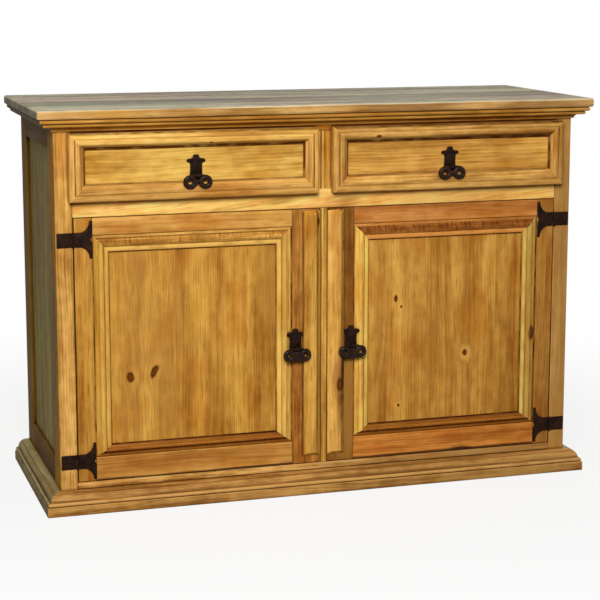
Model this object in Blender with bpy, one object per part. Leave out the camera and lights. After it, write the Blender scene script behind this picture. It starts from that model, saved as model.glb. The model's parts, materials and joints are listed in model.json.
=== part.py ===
"""A rustic pine buffet cabinet: two drawers over two framed doors, with wrought iron hinges and drop pulls.

Metres, +Z up. The cabinet stands on z = 0, its front faces -Y and +X is to the right of someone facing it.
The origin is under the middle of the top board.
"""

import math

import bmesh
import bpy
from mathutils import Matrix, Vector

# Fits shared by all the pieces
GAP = 0.0003
EASE = 0.0012
TENON_LENGTH = 0.024
TENON_THICKNESS = 0.007
HOUSING_DEPTH = 0.006

# The cabinet as a whole
HEIGHT = 0.840
BODY_WIDTH = 1.146
BODY_DEPTH = 0.440
TOP_THICKNESS = 0.019
TOP_OVERHANG = 0.037
TOP_ROUNDING = 0.004

# Posts, rails and boards of the carcass
POST_WIDTH = 0.036
POST_DEPTH = 0.070
RAIL_THICKNESS = 0.022
TOP_RAIL_HEIGHT = 0.038
MID_RAIL_HEIGHT = 0.041
CENTRE_POST_WIDTH = 0.049
CENTRE_POST_DEPTH = 0.045
CENTRE_NOSE_WIDTH = 0.015
SIDE_TOP_RAIL_HEIGHT = 0.067
SIDE_BOTTOM_RAIL_HEIGHT = 0.098
SIDE_PANEL_THICKNESS = 0.010
SIDE_PANEL_RECESS = 0.008
FLOOR_THICKNESS = 0.014
DUST_PANEL_THICKNESS = 0.012
SHELF_THICKNESS = 0.018
SHELF_HEIGHT = 0.330
SHELF_SETBACK = 0.055
SHELF_BACK_CLEARANCE = 0.027
BACK_THICKNESS = 0.008
BACK_REBATE = 0.012

# Plinth: a flat fascia, a small bead and a quarter round
PLINTH_PROJECTION = 0.033
FASCIA_HEIGHT = 0.020
PLINTH_BEAD_RADIUS = 0.004
PLINTH_BEAD_INSET = 0.006
PLINTH_ROUND_RADIUS = 0.018

# Cornice: two beads over a cove
CORNICE_BEAD_RADIUS = 0.0045
CORNICE_LOWER_BEAD_RADIUS = 0.0038
CORNICE_COVE_RADIUS = 0.009
CORNICE_FOOT = 0.004
CORNICE_STEP = 0.0065

# Doors, which fill the height that the drawers leave
DOOR_THICKNESS = 0.022
DOOR_CLEARANCE = 0.0015
DOOR_STOP_CLEARANCE = 0.0008
HINGE_STILE_WIDTH = 0.038
FREE_STILE_WIDTH = 0.060
DOOR_TOP_RAIL_HEIGHT = 0.036
DOOR_BOTTOM_RAIL_HEIGHT = 0.050
DOOR_PANEL_THICKNESS = 0.010
DOOR_PANEL_RECESS = 0.007
BATTEN_WIDTH = 0.037
BATTEN_THICKNESS = 0.010
BATTEN_EDGE = 0.003
BATTEN_TOP_MARGIN = 0.004
BATTEN_BOTTOM_MARGIN = 0.016
BATTEN_END_SLOPE = 0.008

# Door moulding, measured inwards from the frame: cove, bead and quarter round
MOULDING_COVE = 0.0105
MOULDING_COVE_FOOT = 0.003
MOULDING_BEAD = 0.012
MOULDING_BEAD_BASE = 0.0045
MOULDING_ROUND = 0.011
MOULDING_ROUND_HEIGHT = 0.0062
COVE_END_DEGREES = -10
BEAD_START_DEGREES = 160

# Drawers
DRAWER_OPENING_HEIGHT = 0.1234
DRAWER_LAP = 0.008
DRAWER_FRONT_THICKNESS = 0.014
DRAWER_FRONT_GAP = 0.0005
DRAWER_SIDE_THICKNESS = 0.012
DRAWER_SIDE_CLEARANCE = 0.003
DRAWER_TOP_CLEARANCE = 0.0181
DRAWER_BACK_CLEARANCE = 0.047
DRAWER_BOTTOM_THICKNESS = 0.006
DRAWER_BOTTOM_LIFT = 0.010

# Drawer moulding, measured inwards from the edge: rounded border, groove, bead and slope
BORDER_EDGE = 0.004
BORDER_WIDTH = 0.010
BORDER_HEIGHT = 0.010
BORDER_GROOVE = 0.002
BORDER_GROOVE_DEPTH = 0.0022
DRAWER_BEAD = 0.010
DRAWER_BEAD_HEIGHT = 0.0025
DRAWER_SLOPE = 0.009
DRAWER_SLOPE_FOOT = 0.002

# Hinges, fixed on the faces of post and door
HINGE_INSET_TOP = 0.0445
HINGE_INSET_BOTTOM = 0.0435
LEAF_THICKNESS = 0.002
KNUCKLE_RADIUS = 0.003
KNUCKLE_BORE_RADIUS = 0.0017
PIN_RADIUS = 0.0013
PIN_END_INSET = 0.0006
POST_LEAF_LENGTH = 0.034
POST_LEAF_HEIGHT = 0.0296
DOOR_KNUCKLE_HEIGHT = 0.011
NECK_LENGTH = 0.022
NECK_HEIGHT = 0.030
TAIL_LENGTH = 0.017
TAIL_TIP_WIDTH = 0.0055
TAIL_HEIGHT = 0.078
TAIL_NOTCH = 0.0035

# Drop pulls: a cross-shaped plate with an eye, and a ring of two lobes
DOOR_PULL_FROM_CENTRE = 0.0625
DOOR_PULL_BELOW_MIDDLE = 0.0213
DRAWER_PULL_BELOW_MIDDLE = 0.0212
PLATE_THICKNESS = 0.002
PLATE_BODY_WIDTH = 0.027
PLATE_ARM_WIDTH = 0.033
PLATE_ARM_HEIGHT = 0.008
PLATE_ARM_TOP = 0.034
PLATE_TOP = 0.042
PLATE_STUB_WIDTH = 0.013
PLATE_FOOT = 0.005
EYE_REACH = 0.015
EYE_WIDTH = 0.006
EYE_RADIUS = 0.0042
EYE_BORE_RADIUS = 0.0027
RING_BAR_RADIUS = 0.0022
RING_BAR_LENGTH = 0.028
RING_WIRE_RADIUS = 0.0032
LOBE_SPACING = 0.031
LOBE_HALF_WIDTH = 0.0118
LOBE_HALF_HEIGHT = 0.0108
LOBE_DROP = 0.013
COLLAR_RADIUS = 0.0026
COLLAR_LENGTH = 0.010

# Round stretches
ARC_STEPS = 6
SMALL_ARC_STEPS = 4
EYE_STEPS = 8
CROWN_STEPS = 10
BARREL_SIDES = 16
PIN_SIDES = 12
LOBE_STEPS = 20
WIRE_SIDES = 8
SMOOTH_BELOW_DEGREES = 40

# Marks on the joint axes
AXIS_MARK_SIZE = 0.03

# Places worked out from the sizes above
HALF_WIDTH = BODY_WIDTH / 2
FRONT = -(BODY_DEPTH - TOP_OVERHANG) / 2
BACK = FRONT + BODY_DEPTH
POST_INNER = HALF_WIDTH - POST_WIDTH
TOP_UNDERSIDE = HEIGHT - TOP_THICKNESS
CARCASS_TOP = TOP_UNDERSIDE - GAP
PLINTH_HEIGHT = FASCIA_HEIGHT + 2 * PLINTH_BEAD_RADIUS + PLINTH_ROUND_RADIUS
FLOOR_BOTTOM = PLINTH_HEIGHT + GAP
FLOOR_TOP = FLOOR_BOTTOM + FLOOR_THICKNESS
TOP_RAIL_BOTTOM = CARCASS_TOP - TOP_RAIL_HEIGHT
MID_RAIL_TOP = TOP_RAIL_BOTTOM - DRAWER_OPENING_HEIGHT
MID_RAIL_BOTTOM = MID_RAIL_TOP - MID_RAIL_HEIGHT
DOOR_BOTTOM = FLOOR_TOP + DOOR_CLEARANCE
DOOR_TOP = MID_RAIL_BOTTOM - DOOR_CLEARANCE
DOOR_PULL_HEIGHT = (DOOR_BOTTOM + DOOR_TOP) / 2 - DOOR_PULL_BELOW_MIDDLE
DRAWER_PULL_HEIGHT = (MID_RAIL_TOP + TOP_RAIL_BOTTOM) / 2 - DRAWER_PULL_BELOW_MIDDLE
RAIL_BACK = FRONT + RAIL_THICKNESS
BACK_FACE = BACK - BACK_THICKNESS
DOOR_HINGE_EDGE = POST_INNER - DOOR_CLEARANCE
DOOR_FREE_EDGE = CENTRE_NOSE_WIDTH / 2 + DOOR_CLEARANCE
DOOR_BACK = FRONT + DOOR_THICKNESS
HINGE_X = POST_INNER - DOOR_CLEARANCE / 2
HINGE_Y = FRONT - GAP - KNUCKLE_RADIUS
HINGE_HEIGHTS = {"upper": DOOR_TOP - HINGE_INSET_TOP, "lower": DOOR_BOTTOM + HINGE_INSET_BOTTOM}
DRAWER_FRONT_BACK = FRONT - DRAWER_FRONT_GAP
DRAWER_FACE = DRAWER_FRONT_BACK - DRAWER_FRONT_THICKNESS
DRAWER_INNER = CENTRE_POST_WIDTH / 2
SIDES = {"left": -1, "right": 1}


def clear_scene():
    for old in list(bpy.data.objects):
        bpy.data.objects.remove(old, do_unlink=True)


def finish(name, colour, roughness, metallic=0.0):
    made = bpy.data.materials.new(name)
    made.use_nodes = True
    shader = made.node_tree.nodes["Principled BSDF"]
    shader.inputs["Base Color"].default_value = (*colour, 1.0)
    shader.inputs["Roughness"].default_value = roughness
    shader.inputs["Metallic"].default_value = metallic
    return made


def axis_empty(name, place, parent=None):
    """An empty on a joint's axis, which carries the pieces that move with it."""
    empty = bpy.data.objects.new(name, None)
    empty.empty_display_size = AXIS_MARK_SIZE
    bpy.context.scene.collection.objects.link(empty)
    empty["place"] = place
    held_at = Vector(parent["place"]) if parent else Vector()
    empty.parent = parent
    empty.location = Vector(place) - held_at
    return empty


def add(name, shape, material, carrier, smooth=False):
    """One piece of the cabinet, from a bmesh in world coordinates, held by the empty of its body."""
    bmesh.ops.recalc_face_normals(shape, faces=shape.faces)
    bmesh.ops.translate(shape, vec=-Vector(carrier["place"]), verts=shape.verts)
    mesh = bpy.data.meshes.new(name)
    shape.to_mesh(mesh)
    shape.free()
    if smooth:
        mesh.shade_smooth()
        mesh.set_sharp_from_angle(angle=math.radians(SMOOTH_BELOW_DEGREES))
    mesh.materials.append(material)
    piece = bpy.data.objects.new(name, mesh)
    bpy.context.scene.collection.objects.link(piece)
    piece.parent = carrier
    return piece


def helper(name, shape):
    """A cutter or a second solid for a Boolean, which is no piece of its own."""
    bmesh.ops.recalc_face_normals(shape, faces=shape.faces)
    mesh = bpy.data.meshes.new(name)
    shape.to_mesh(mesh)
    shape.free()
    tool = bpy.data.objects.new(name, mesh)
    bpy.context.scene.collection.objects.link(tool)
    tool.hide_render = True
    tool.display_type = "WIRE"
    return tool


def boolean(piece, tool, operation):
    step = piece.modifiers.new(operation.lower(), "BOOLEAN")
    step.operation = operation
    step.solver = "EXACT"
    step.object = tool


def ease(piece, width=EASE, segments=1):
    """Breaks the outer arrises of a board. Inside corners, as at a tenon's shoulder, stay square."""
    shape = bmesh.new()
    shape.from_mesh(piece.data)
    weight = shape.edges.layers.float.new("bevel_weight_edge")
    for edge in shape.edges:
        edge[weight] = 1.0 if edge.is_convex else 0.0
    shape.to_mesh(piece.data)
    shape.free()
    bevel = piece.modifiers.new("eased edges", "BEVEL")
    bevel.width = width
    bevel.segments = segments
    bevel.limit_method = "WEIGHT"


def block(low, high):
    shape = bmesh.new()
    low, high = Vector(low), Vector(high)
    middle = (low + high) / 2
    size = high - low
    bmesh.ops.create_cube(shape, size=1.0, matrix=Matrix.Translation(middle) @ Matrix.Diagonal((*size, 1.0)))
    return shape


def grown(low, high, by=GAP):
    return [c - by for c in low], [c + by for c in high]


def span(one, other):
    return min(one, other), max(one, other)


def sided_block(side, near, far, y_range, z_range):
    """The corners of a box between two distances from the middle, on the left (-1) or right (1)."""
    x_low, x_high = span(side * near, side * far)
    return (x_low, y_range[0], z_range[0]), (x_high, y_range[1], z_range[1])


def prism(outline, along, start, end):
    """An outline pushed from start to end along one axis: (x, y) along Z, (x, z) along Y, (y, z) along X."""
    place = {
        "X": lambda a, b: (start, a, b),
        "Y": lambda a, b: (a, start, b),
        "Z": lambda a, b: (a, b, start),
    }[along]
    shape = bmesh.new()
    face = shape.faces.new([shape.verts.new(place(a, b)) for a, b in outline])
    pushed = bmesh.ops.extrude_face_region(shape, geom=[face])["geom"]
    moved = [v for v in pushed if isinstance(v, bmesh.types.BMVert)]
    step = Vector([end - start if axis == along else 0.0 for axis in "XYZ"])
    bmesh.ops.translate(shape, vec=step, verts=moved)
    return shape


def loft(rings, closed=False):
    """A solid through rings of points, capped at its ends or joined end to end."""
    shape = bmesh.new()
    rows = [[shape.verts.new(point) for point in ring] for ring in rings]
    pairs = list(zip(rows, rows[1:]))
    if closed:
        pairs.append((rows[-1], rows[0]))
    for one, other in pairs:
        for i in range(len(one)):
            j = (i + 1) % len(one)
            shape.faces.new((one[i], one[j], other[j], other[i]))
    if not closed:
        shape.faces.new(rows[0])
        shape.faces.new(rows[-1])
    return shape


def barrel(centre, radius, length, along, sides=BARREL_SIDES):
    """A round bar about a centre, lying along X or standing along Z."""
    shape = bmesh.new()
    turn = Matrix.Rotation(math.radians(90), 4, "Y") if along == "X" else Matrix.Identity(4)
    bmesh.ops.create_cone(
        shape, cap_ends=True, segments=sides, radius1=radius, radius2=radius, depth=length,
        matrix=Matrix.Translation(centre) @ turn,
    )
    return shape


def arc(centre, radii, from_degrees, to_degrees, steps=ARC_STEPS):
    """Points on a circle or an ellipse about a centre."""
    points = []
    for i in range(steps + 1):
        angle = math.radians(from_degrees + (to_degrees - from_degrees) * i / steps)
        points.append((centre[0] + radii[0] * math.cos(angle), centre[1] + radii[1] * math.sin(angle)))
    return points


def tenoned_rail(low, high, along):
    """A rail with a tenon at each end, seen from above and pushed up to its height, and its two tenons."""
    run = "XY".index(along)
    across = 1 - run
    middle = (low[across] + high[across]) / 2
    cheeks = middle - TENON_THICKNESS / 2, middle + TENON_THICKNESS / 2
    shoulders = low[run], high[run]
    ends = shoulders[0] - TENON_LENGTH, shoulders[1] + TENON_LENGTH
    outline = [
        (shoulders[0], low[across]), (shoulders[1], low[across]),
        (shoulders[1], cheeks[0]), (ends[1], cheeks[0]), (ends[1], cheeks[1]), (shoulders[1], cheeks[1]),
        (shoulders[1], high[across]), (shoulders[0], high[across]),
        (shoulders[0], cheeks[1]), (ends[0], cheeks[1]), (ends[0], cheeks[0]), (shoulders[0], cheeks[0]),
    ]
    if along == "Y":
        outline = [(across_at, run_at) for run_at, across_at in outline]
    tenons = []
    for shoulder, end in zip(shoulders, ends):
        run_range = span(shoulder, end)
        corners = [None, None]
        corners[run] = run_range
        corners[across] = cheeks
        tenons.append(((corners[0][0], corners[1][0], low[2]), (corners[0][1], corners[1][1], high[2])))
    return prism(outline, "Z", low[2], high[2]), tenons


def cut_box(pieces, name, low, high):
    """The same box, with a gap all round, cut from several pieces."""
    cutter = helper(name, block(*grown(low, high)))
    for piece in pieces:
        boolean(piece, cutter, "DIFFERENCE")


def mitred_frame(profile, x_range, z_range, face):
    """A moulding round a rectangle, mitred at its corners. The profile is (distance inwards, height)."""
    corners = (
        (x_range[0], z_range[0], 1, 1), (x_range[1], z_range[0], -1, 1),
        (x_range[1], z_range[1], -1, -1), (x_range[0], z_range[1], 1, -1),
    )
    rings = [[(x + sx * d, face - h, z + sz * d) for d, h in profile] for x, z, sx, sz in corners]
    return loft(rings, closed=True)


def plinth_profile():
    """(distance outwards, height) from the floor up."""
    bead_face = PLINTH_PROJECTION - PLINTH_BEAD_INSET
    bead_top = FASCIA_HEIGHT + 2 * PLINTH_BEAD_RADIUS
    round_middle = bead_face - PLINTH_BEAD_RADIUS / 2 - PLINTH_ROUND_RADIUS
    outline = [(0, 0), (PLINTH_PROJECTION, 0), (PLINTH_PROJECTION, FASCIA_HEIGHT)]
    bead = (bead_face, FASCIA_HEIGHT + PLINTH_BEAD_RADIUS)
    outline += arc(bead, (PLINTH_BEAD_RADIUS, PLINTH_BEAD_RADIUS), -90, 90)
    outline += arc((round_middle, bead_top), (PLINTH_ROUND_RADIUS, PLINTH_ROUND_RADIUS), 0, 90)
    outline.append((0, PLINTH_HEIGHT))
    return outline


def cornice_profile():
    """(distance outwards, height) from the underside of the top board down."""
    cove_edge = CORNICE_FOOT + CORNICE_COVE_RADIUS
    lower_middle = cove_edge + CORNICE_STEP
    upper_middle = lower_middle + CORNICE_STEP
    upper_radii = (CORNICE_BEAD_RADIUS, CORNICE_BEAD_RADIUS)
    lower_radii = (CORNICE_LOWER_BEAD_RADIUS, CORNICE_LOWER_BEAD_RADIUS)
    lower_top = CARCASS_TOP - 2 * CORNICE_BEAD_RADIUS
    cove_top = lower_top - 2 * CORNICE_LOWER_BEAD_RADIUS
    foot = cove_top - CORNICE_COVE_RADIUS
    outline = [(0, CARCASS_TOP)]
    outline += arc((upper_middle, CARCASS_TOP - CORNICE_BEAD_RADIUS), upper_radii, 90, -90)
    outline += arc((lower_middle, lower_top - CORNICE_LOWER_BEAD_RADIUS), lower_radii, 90, -90)
    outline += arc((cove_edge, foot), (CORNICE_COVE_RADIUS, CORNICE_COVE_RADIUS), 90, 180)
    outline.append((0, foot))
    return outline


def make_top(wood, body):
    low = (-HALF_WIDTH - TOP_OVERHANG, FRONT - TOP_OVERHANG, TOP_UNDERSIDE)
    high = (HALF_WIDTH + TOP_OVERHANG, BACK, HEIGHT)
    ease(add("top_panel", block(low, high), wood, body), TOP_ROUNDING, segments=2)


def make_cornice(wood, body):
    """Runs round the left, front and right, mitred at the two front corners."""
    profile = cornice_profile()
    left_back = [(-HALF_WIDTH - GAP - d, BACK, z) for d, z in profile]
    left_corner = [(-HALF_WIDTH - GAP - d, FRONT - GAP - d, z) for d, z in profile]
    right_corner = [(HALF_WIDTH + GAP + d, FRONT - GAP - d, z) for d, z in profile]
    right_back = [(HALF_WIDTH + GAP + d, BACK, z) for d, z in profile]
    add("cornice", loft([left_back, left_corner, right_corner, right_back]), wood, body, smooth=True)


def make_plinth(wood, body):
    """Three strips, mitred where the front one meets the sides."""
    profile = plinth_profile()
    slack = GAP / 2
    front = [
        [(-HALF_WIDTH - GAP - d + slack, FRONT - GAP - d, z) for d, z in profile],
        [(HALF_WIDTH + GAP + d - slack, FRONT - GAP - d, z) for d, z in profile],
    ]
    add("plinth_front", loft(front), wood, body, smooth=True)
    for side_name, side in SIDES.items():
        strip = [
            [(side * (HALF_WIDTH + GAP + d), FRONT - GAP - d + slack, z) for d, z in profile],
            [(side * (HALF_WIDTH + GAP + d), BACK, z) for d, z in profile],
        ]
        add(f"plinth_{side_name}", loft(strip), wood, body, smooth=True)


def make_posts(wood, body):
    depths = {"front": (FRONT, FRONT + POST_DEPTH), "back": (BACK - POST_DEPTH, BACK)}
    posts = {}
    for place, depth in depths.items():
        for side_name, side in SIDES.items():
            low, high = sided_block(side, POST_INNER, HALF_WIDTH, depth, (0, CARCASS_TOP))
            post = add(f"post_{place}_{side_name}", block(low, high), wood, body)
            ease(post)
            posts[place, side_name] = post
    return posts


def make_sides(wood, body, posts):
    """Each side is two rails tenoned into the posts, round a panel held in grooves."""
    run = (FRONT + POST_DEPTH + GAP, BACK - POST_DEPTH - GAP)
    rail_inner = HALF_WIDTH - RAIL_THICKNESS
    top_rail_bottom = CARCASS_TOP - SIDE_TOP_RAIL_HEIGHT
    heights = {"top": (top_rail_bottom, CARCASS_TOP), "bottom": (0, SIDE_BOTTOM_RAIL_HEIGHT)}
    panel_face = HALF_WIDTH - SIDE_PANEL_RECESS
    for side_name, side in SIDES.items():
        pair = [posts["front", side_name], posts["back", side_name]]
        framing = list(pair)
        for place, height in heights.items():
            low, high = sided_block(side, rail_inner, HALF_WIDTH, run, height)
            shape, tenons = tenoned_rail(low, high, "Y")
            rail = add(f"side_{place}_rail_{side_name}", shape, wood, body)
            ease(rail)
            framing.append(rail)
            for post, tenon in zip(pair, tenons):
                cut_box([post], f"mortise_side_{place}_{side_name}", *tenon)
        low, high = sided_block(
            side, panel_face - SIDE_PANEL_THICKNESS, panel_face,
            (run[0] - HOUSING_DEPTH, run[1] + HOUSING_DEPTH),
            (SIDE_BOTTOM_RAIL_HEIGHT - HOUSING_DEPTH, top_rail_bottom + HOUSING_DEPTH),
        )
        add(f"side_panel_{side_name}", block(low, high), wood, body)
        cut_box(framing, f"side_groove_{side_name}", low, high)


def make_front_rails(wood, body, posts):
    pair = [posts["front", "left"], posts["front", "right"]]
    reach = POST_INNER - GAP
    heights = {"front_top_rail": (TOP_RAIL_BOTTOM, CARCASS_TOP), "mid_rail": (MID_RAIL_BOTTOM, MID_RAIL_TOP)}
    for name, (bottom, top) in heights.items():
        shape, tenons = tenoned_rail((-reach, FRONT, bottom), (reach, RAIL_BACK, top), "X")
        ease(add(name, shape, wood, body))
        for post, tenon in zip(pair, tenons):
            cut_box([post], f"mortise_{name}", *tenon)


def make_centre_post(wood, body):
    """Stands on the floor, halved behind the mid rail, and rebated so that the doors close against it."""
    half = CENTRE_POST_WIDTH / 2
    low = (-half, FRONT, FLOOR_TOP + GAP)
    high = (half, FRONT + CENTRE_POST_DEPTH, TOP_RAIL_BOTTOM - GAP)
    post = add("centre_post", block(low, high), wood, body)
    ease(post)
    lap_low = (-CENTRE_POST_WIDTH, FRONT - CENTRE_POST_DEPTH, MID_RAIL_BOTTOM)
    lap_high = (CENTRE_POST_WIDTH, RAIL_BACK, MID_RAIL_TOP)
    cut_box([post], "centre_post_lap", lap_low, lap_high)
    for side_name, side in SIDES.items():
        rebate = sided_block(
            side, CENTRE_NOSE_WIDTH / 2 + GAP, CENTRE_POST_WIDTH,
            (FRONT - CENTRE_POST_DEPTH, DOOR_BACK + DOOR_STOP_CLEARANCE), (0, MID_RAIL_BOTTOM),
        )
        cut_box([post], f"centre_post_rebate_{side_name}", *rebate)


def notched_board(front, back, rail_reach):
    """The plan of a board that fits round the four posts."""
    post_reach = POST_INNER - GAP
    front_notch = FRONT + POST_DEPTH + GAP
    back_notch = BACK - POST_DEPTH - GAP
    right = [
        (post_reach, front), (post_reach, front_notch), (rail_reach, front_notch),
        (rail_reach, back_notch), (post_reach, back_notch), (post_reach, back),
    ]
    left = [(-x, y) for x, y in reversed(right)]
    return right + left


def make_inside(wood, body, posts):
    """Floor, dust panel under the drawers, shelf and back."""
    back_stop = BACK_FACE - GAP
    floor_plan = notched_board(FRONT, back_stop, HALF_WIDTH - RAIL_THICKNESS - GAP)
    ease(add("floor_panel", prism(floor_plan, "Z", FLOOR_BOTTOM, FLOOR_TOP), wood, body))
    panel_inner = HALF_WIDTH - SIDE_PANEL_RECESS - SIDE_PANEL_THICKNESS
    dust_bottom = MID_RAIL_TOP - DUST_PANEL_THICKNESS
    dust_front = RAIL_BACK + GAP
    notch_half = CENTRE_POST_WIDTH / 2 + GAP
    notch_back = FRONT + CENTRE_POST_DEPTH + GAP
    dust_plan = notched_board(dust_front, back_stop, panel_inner - GAP)
    dust_plan += [(-notch_half, dust_front), (-notch_half, notch_back)]
    dust_plan += [(notch_half, notch_back), (notch_half, dust_front)]
    add("dust_panel", prism(dust_plan, "Z", dust_bottom, MID_RAIL_TOP), wood, body)
    shelf_reach = POST_INNER + HOUSING_DEPTH
    shelf_low = (-shelf_reach, FRONT + SHELF_SETBACK, SHELF_HEIGHT)
    shelf_high = (shelf_reach, BACK_FACE - SHELF_BACK_CLEARANCE, SHELF_HEIGHT + SHELF_THICKNESS)
    ease(add("shelf", block(shelf_low, shelf_high), wood, body))
    cut_box(posts.values(), "shelf_housing", shelf_low, shelf_high)
    back_reach = POST_INNER + BACK_REBATE
    back_low = (-back_reach, BACK_FACE, FLOOR_BOTTOM)
    back_high = (back_reach, BACK, CARCASS_TOP)
    add("back_panel", block(back_low, back_high), wood, body)
    back_posts = [posts["back", name] for name in SIDES]
    cut_box(back_posts, "back_rebate", back_low, back_high)


def door_moulding_profile():
    """(distance inwards, height over the panel): a cove, a bead and a quarter round."""
    bead_middle = MOULDING_COVE + MOULDING_BEAD / 2
    round_start = MOULDING_COVE + MOULDING_BEAD
    cove_rise = MOULDING_BEAD_BASE + EASE - MOULDING_COVE_FOOT
    outline = [(0, 0)]
    cove = (0, MOULDING_COVE_FOOT + cove_rise)
    outline += arc(cove, (MOULDING_COVE, cove_rise), -90, COVE_END_DEGREES, SMALL_ARC_STEPS)
    bead = (bead_middle, MOULDING_BEAD_BASE)
    outline += arc(bead, (MOULDING_BEAD / 2, MOULDING_BEAD / 2), BEAD_START_DEGREES, 0)
    outline += arc((round_start, 0), (MOULDING_ROUND, MOULDING_ROUND_HEIGHT), 90, 0, SMALL_ARC_STEPS)
    return outline


def drawer_moulding_profile():
    """(distance inwards, height over the board): a rounded border, a groove, a bead and a slope."""
    border_rise = BORDER_HEIGHT - BORDER_EDGE
    groove_floor = BORDER_HEIGHT - BORDER_GROOVE_DEPTH
    bead_start = BORDER_WIDTH + BORDER_GROOVE
    bead_middle = bead_start + DRAWER_BEAD / 2
    bead_end = bead_start + DRAWER_BEAD
    outline = [(0, 0)]
    outline += arc((BORDER_WIDTH, BORDER_EDGE), (BORDER_WIDTH, border_rise), 180, 90, SMALL_ARC_STEPS)
    outline += [(BORDER_WIDTH, groove_floor), (bead_start, groove_floor)]
    bead = (bead_middle, BORDER_HEIGHT - DRAWER_BEAD_HEIGHT / 2)
    outline += arc(bead, (DRAWER_BEAD / 2, DRAWER_BEAD_HEIGHT), 180, 0)
    outline += [(bead_end + DRAWER_SLOPE, DRAWER_SLOPE_FOOT), (bead_end + DRAWER_SLOPE, 0)]
    return outline


def make_door(side_name, side, woods, door):
    """Two stiles and two rails, tenoned together round a panel, with a moulding and a batten on the face."""
    depth = (FRONT, DOOR_BACK)
    height = (DOOR_BOTTOM, DOOR_TOP)
    opening_outer = DOOR_HINGE_EDGE - HINGE_STILE_WIDTH
    opening_inner = DOOR_FREE_EDGE + FREE_STILE_WIDTH
    opening_bottom = DOOR_BOTTOM + DOOR_BOTTOM_RAIL_HEIGHT
    opening_top = DOOR_TOP - DOOR_TOP_RAIL_HEIGHT
    name = f"door_{side_name}"
    stile_ends = {"hinge": (opening_outer, DOOR_HINGE_EDGE), "free": (DOOR_FREE_EDGE, opening_inner)}
    stiles = {}
    for place, (near, far) in stile_ends.items():
        stiles[place] = add(f"{name}_{place}_stile", block(*sided_block(side, near, far, depth, height)),
                            woods["stile"], door)
        ease(stiles[place])
    rail_heights = {"top": (opening_top, DOOR_TOP), "bottom": (DOOR_BOTTOM, opening_bottom)}
    framing = list(stiles.values())
    left_to_right = ["hinge", "free"] if side < 0 else ["free", "hinge"]
    for place, rail_height in rail_heights.items():
        low, high = sided_block(side, opening_inner + GAP, opening_outer - GAP, depth, rail_height)
        shape, tenons = tenoned_rail(low, high, "X")
        rail = add(f"{name}_{place}_rail", shape, woods["rail"], door)
        ease(rail)
        framing.append(rail)
        for stile, tenon in zip(left_to_right, tenons):
            cut_box([stiles[stile]], f"{name}_{place}_mortise", *tenon)
    panel_face = FRONT + DOOR_PANEL_RECESS
    low, high = sided_block(
        side, opening_inner - HOUSING_DEPTH, opening_outer + HOUSING_DEPTH,
        (panel_face, panel_face + DOOR_PANEL_THICKNESS),
        (opening_bottom - HOUSING_DEPTH, opening_top + HOUSING_DEPTH),
    )
    add(f"{name}_panel", block(low, high), woods["panel"], door)
    cut_box(framing, f"{name}_panel_groove", low, high)
    moulding_x = span(side * (opening_inner + GAP), side * (opening_outer - GAP))
    moulding_z = (opening_bottom + GAP, opening_top - GAP)
    moulding = mitred_frame(door_moulding_profile(), moulding_x, moulding_z, panel_face - GAP)
    add(f"{name}_moulding", moulding, woods["moulding"], door, smooth=True)
    make_batten(f"{name}_batten", side, woods["batten"], door)


def make_batten(name, side, wood, door):
    """A rounded strip on the face of the free stile, with sloping ends."""
    middle = DOOR_FREE_EDGE + BATTEN_WIDTH / 2
    crown = BATTEN_THICKNESS - BATTEN_EDGE
    profile = [(-BATTEN_WIDTH / 2, 0)]
    profile += arc((0, BATTEN_EDGE), (BATTEN_WIDTH / 2, crown), 180, 0, CROWN_STEPS)
    profile.append((BATTEN_WIDTH / 2, 0))
    face = FRONT - GAP
    bottom = DOOR_BOTTOM + BATTEN_BOTTOM_MARGIN
    top = DOOR_TOP - BATTEN_TOP_MARGIN
    rings = []
    for end, inwards in ((bottom, 1), (top, -1)):
        slope = inwards * BATTEN_END_SLOPE / BATTEN_THICKNESS
        rings.append([(side * (middle + d), face - h, end + slope * h) for d, h in profile])
    add(name, loft(rings), wood, door, smooth=True)


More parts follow.
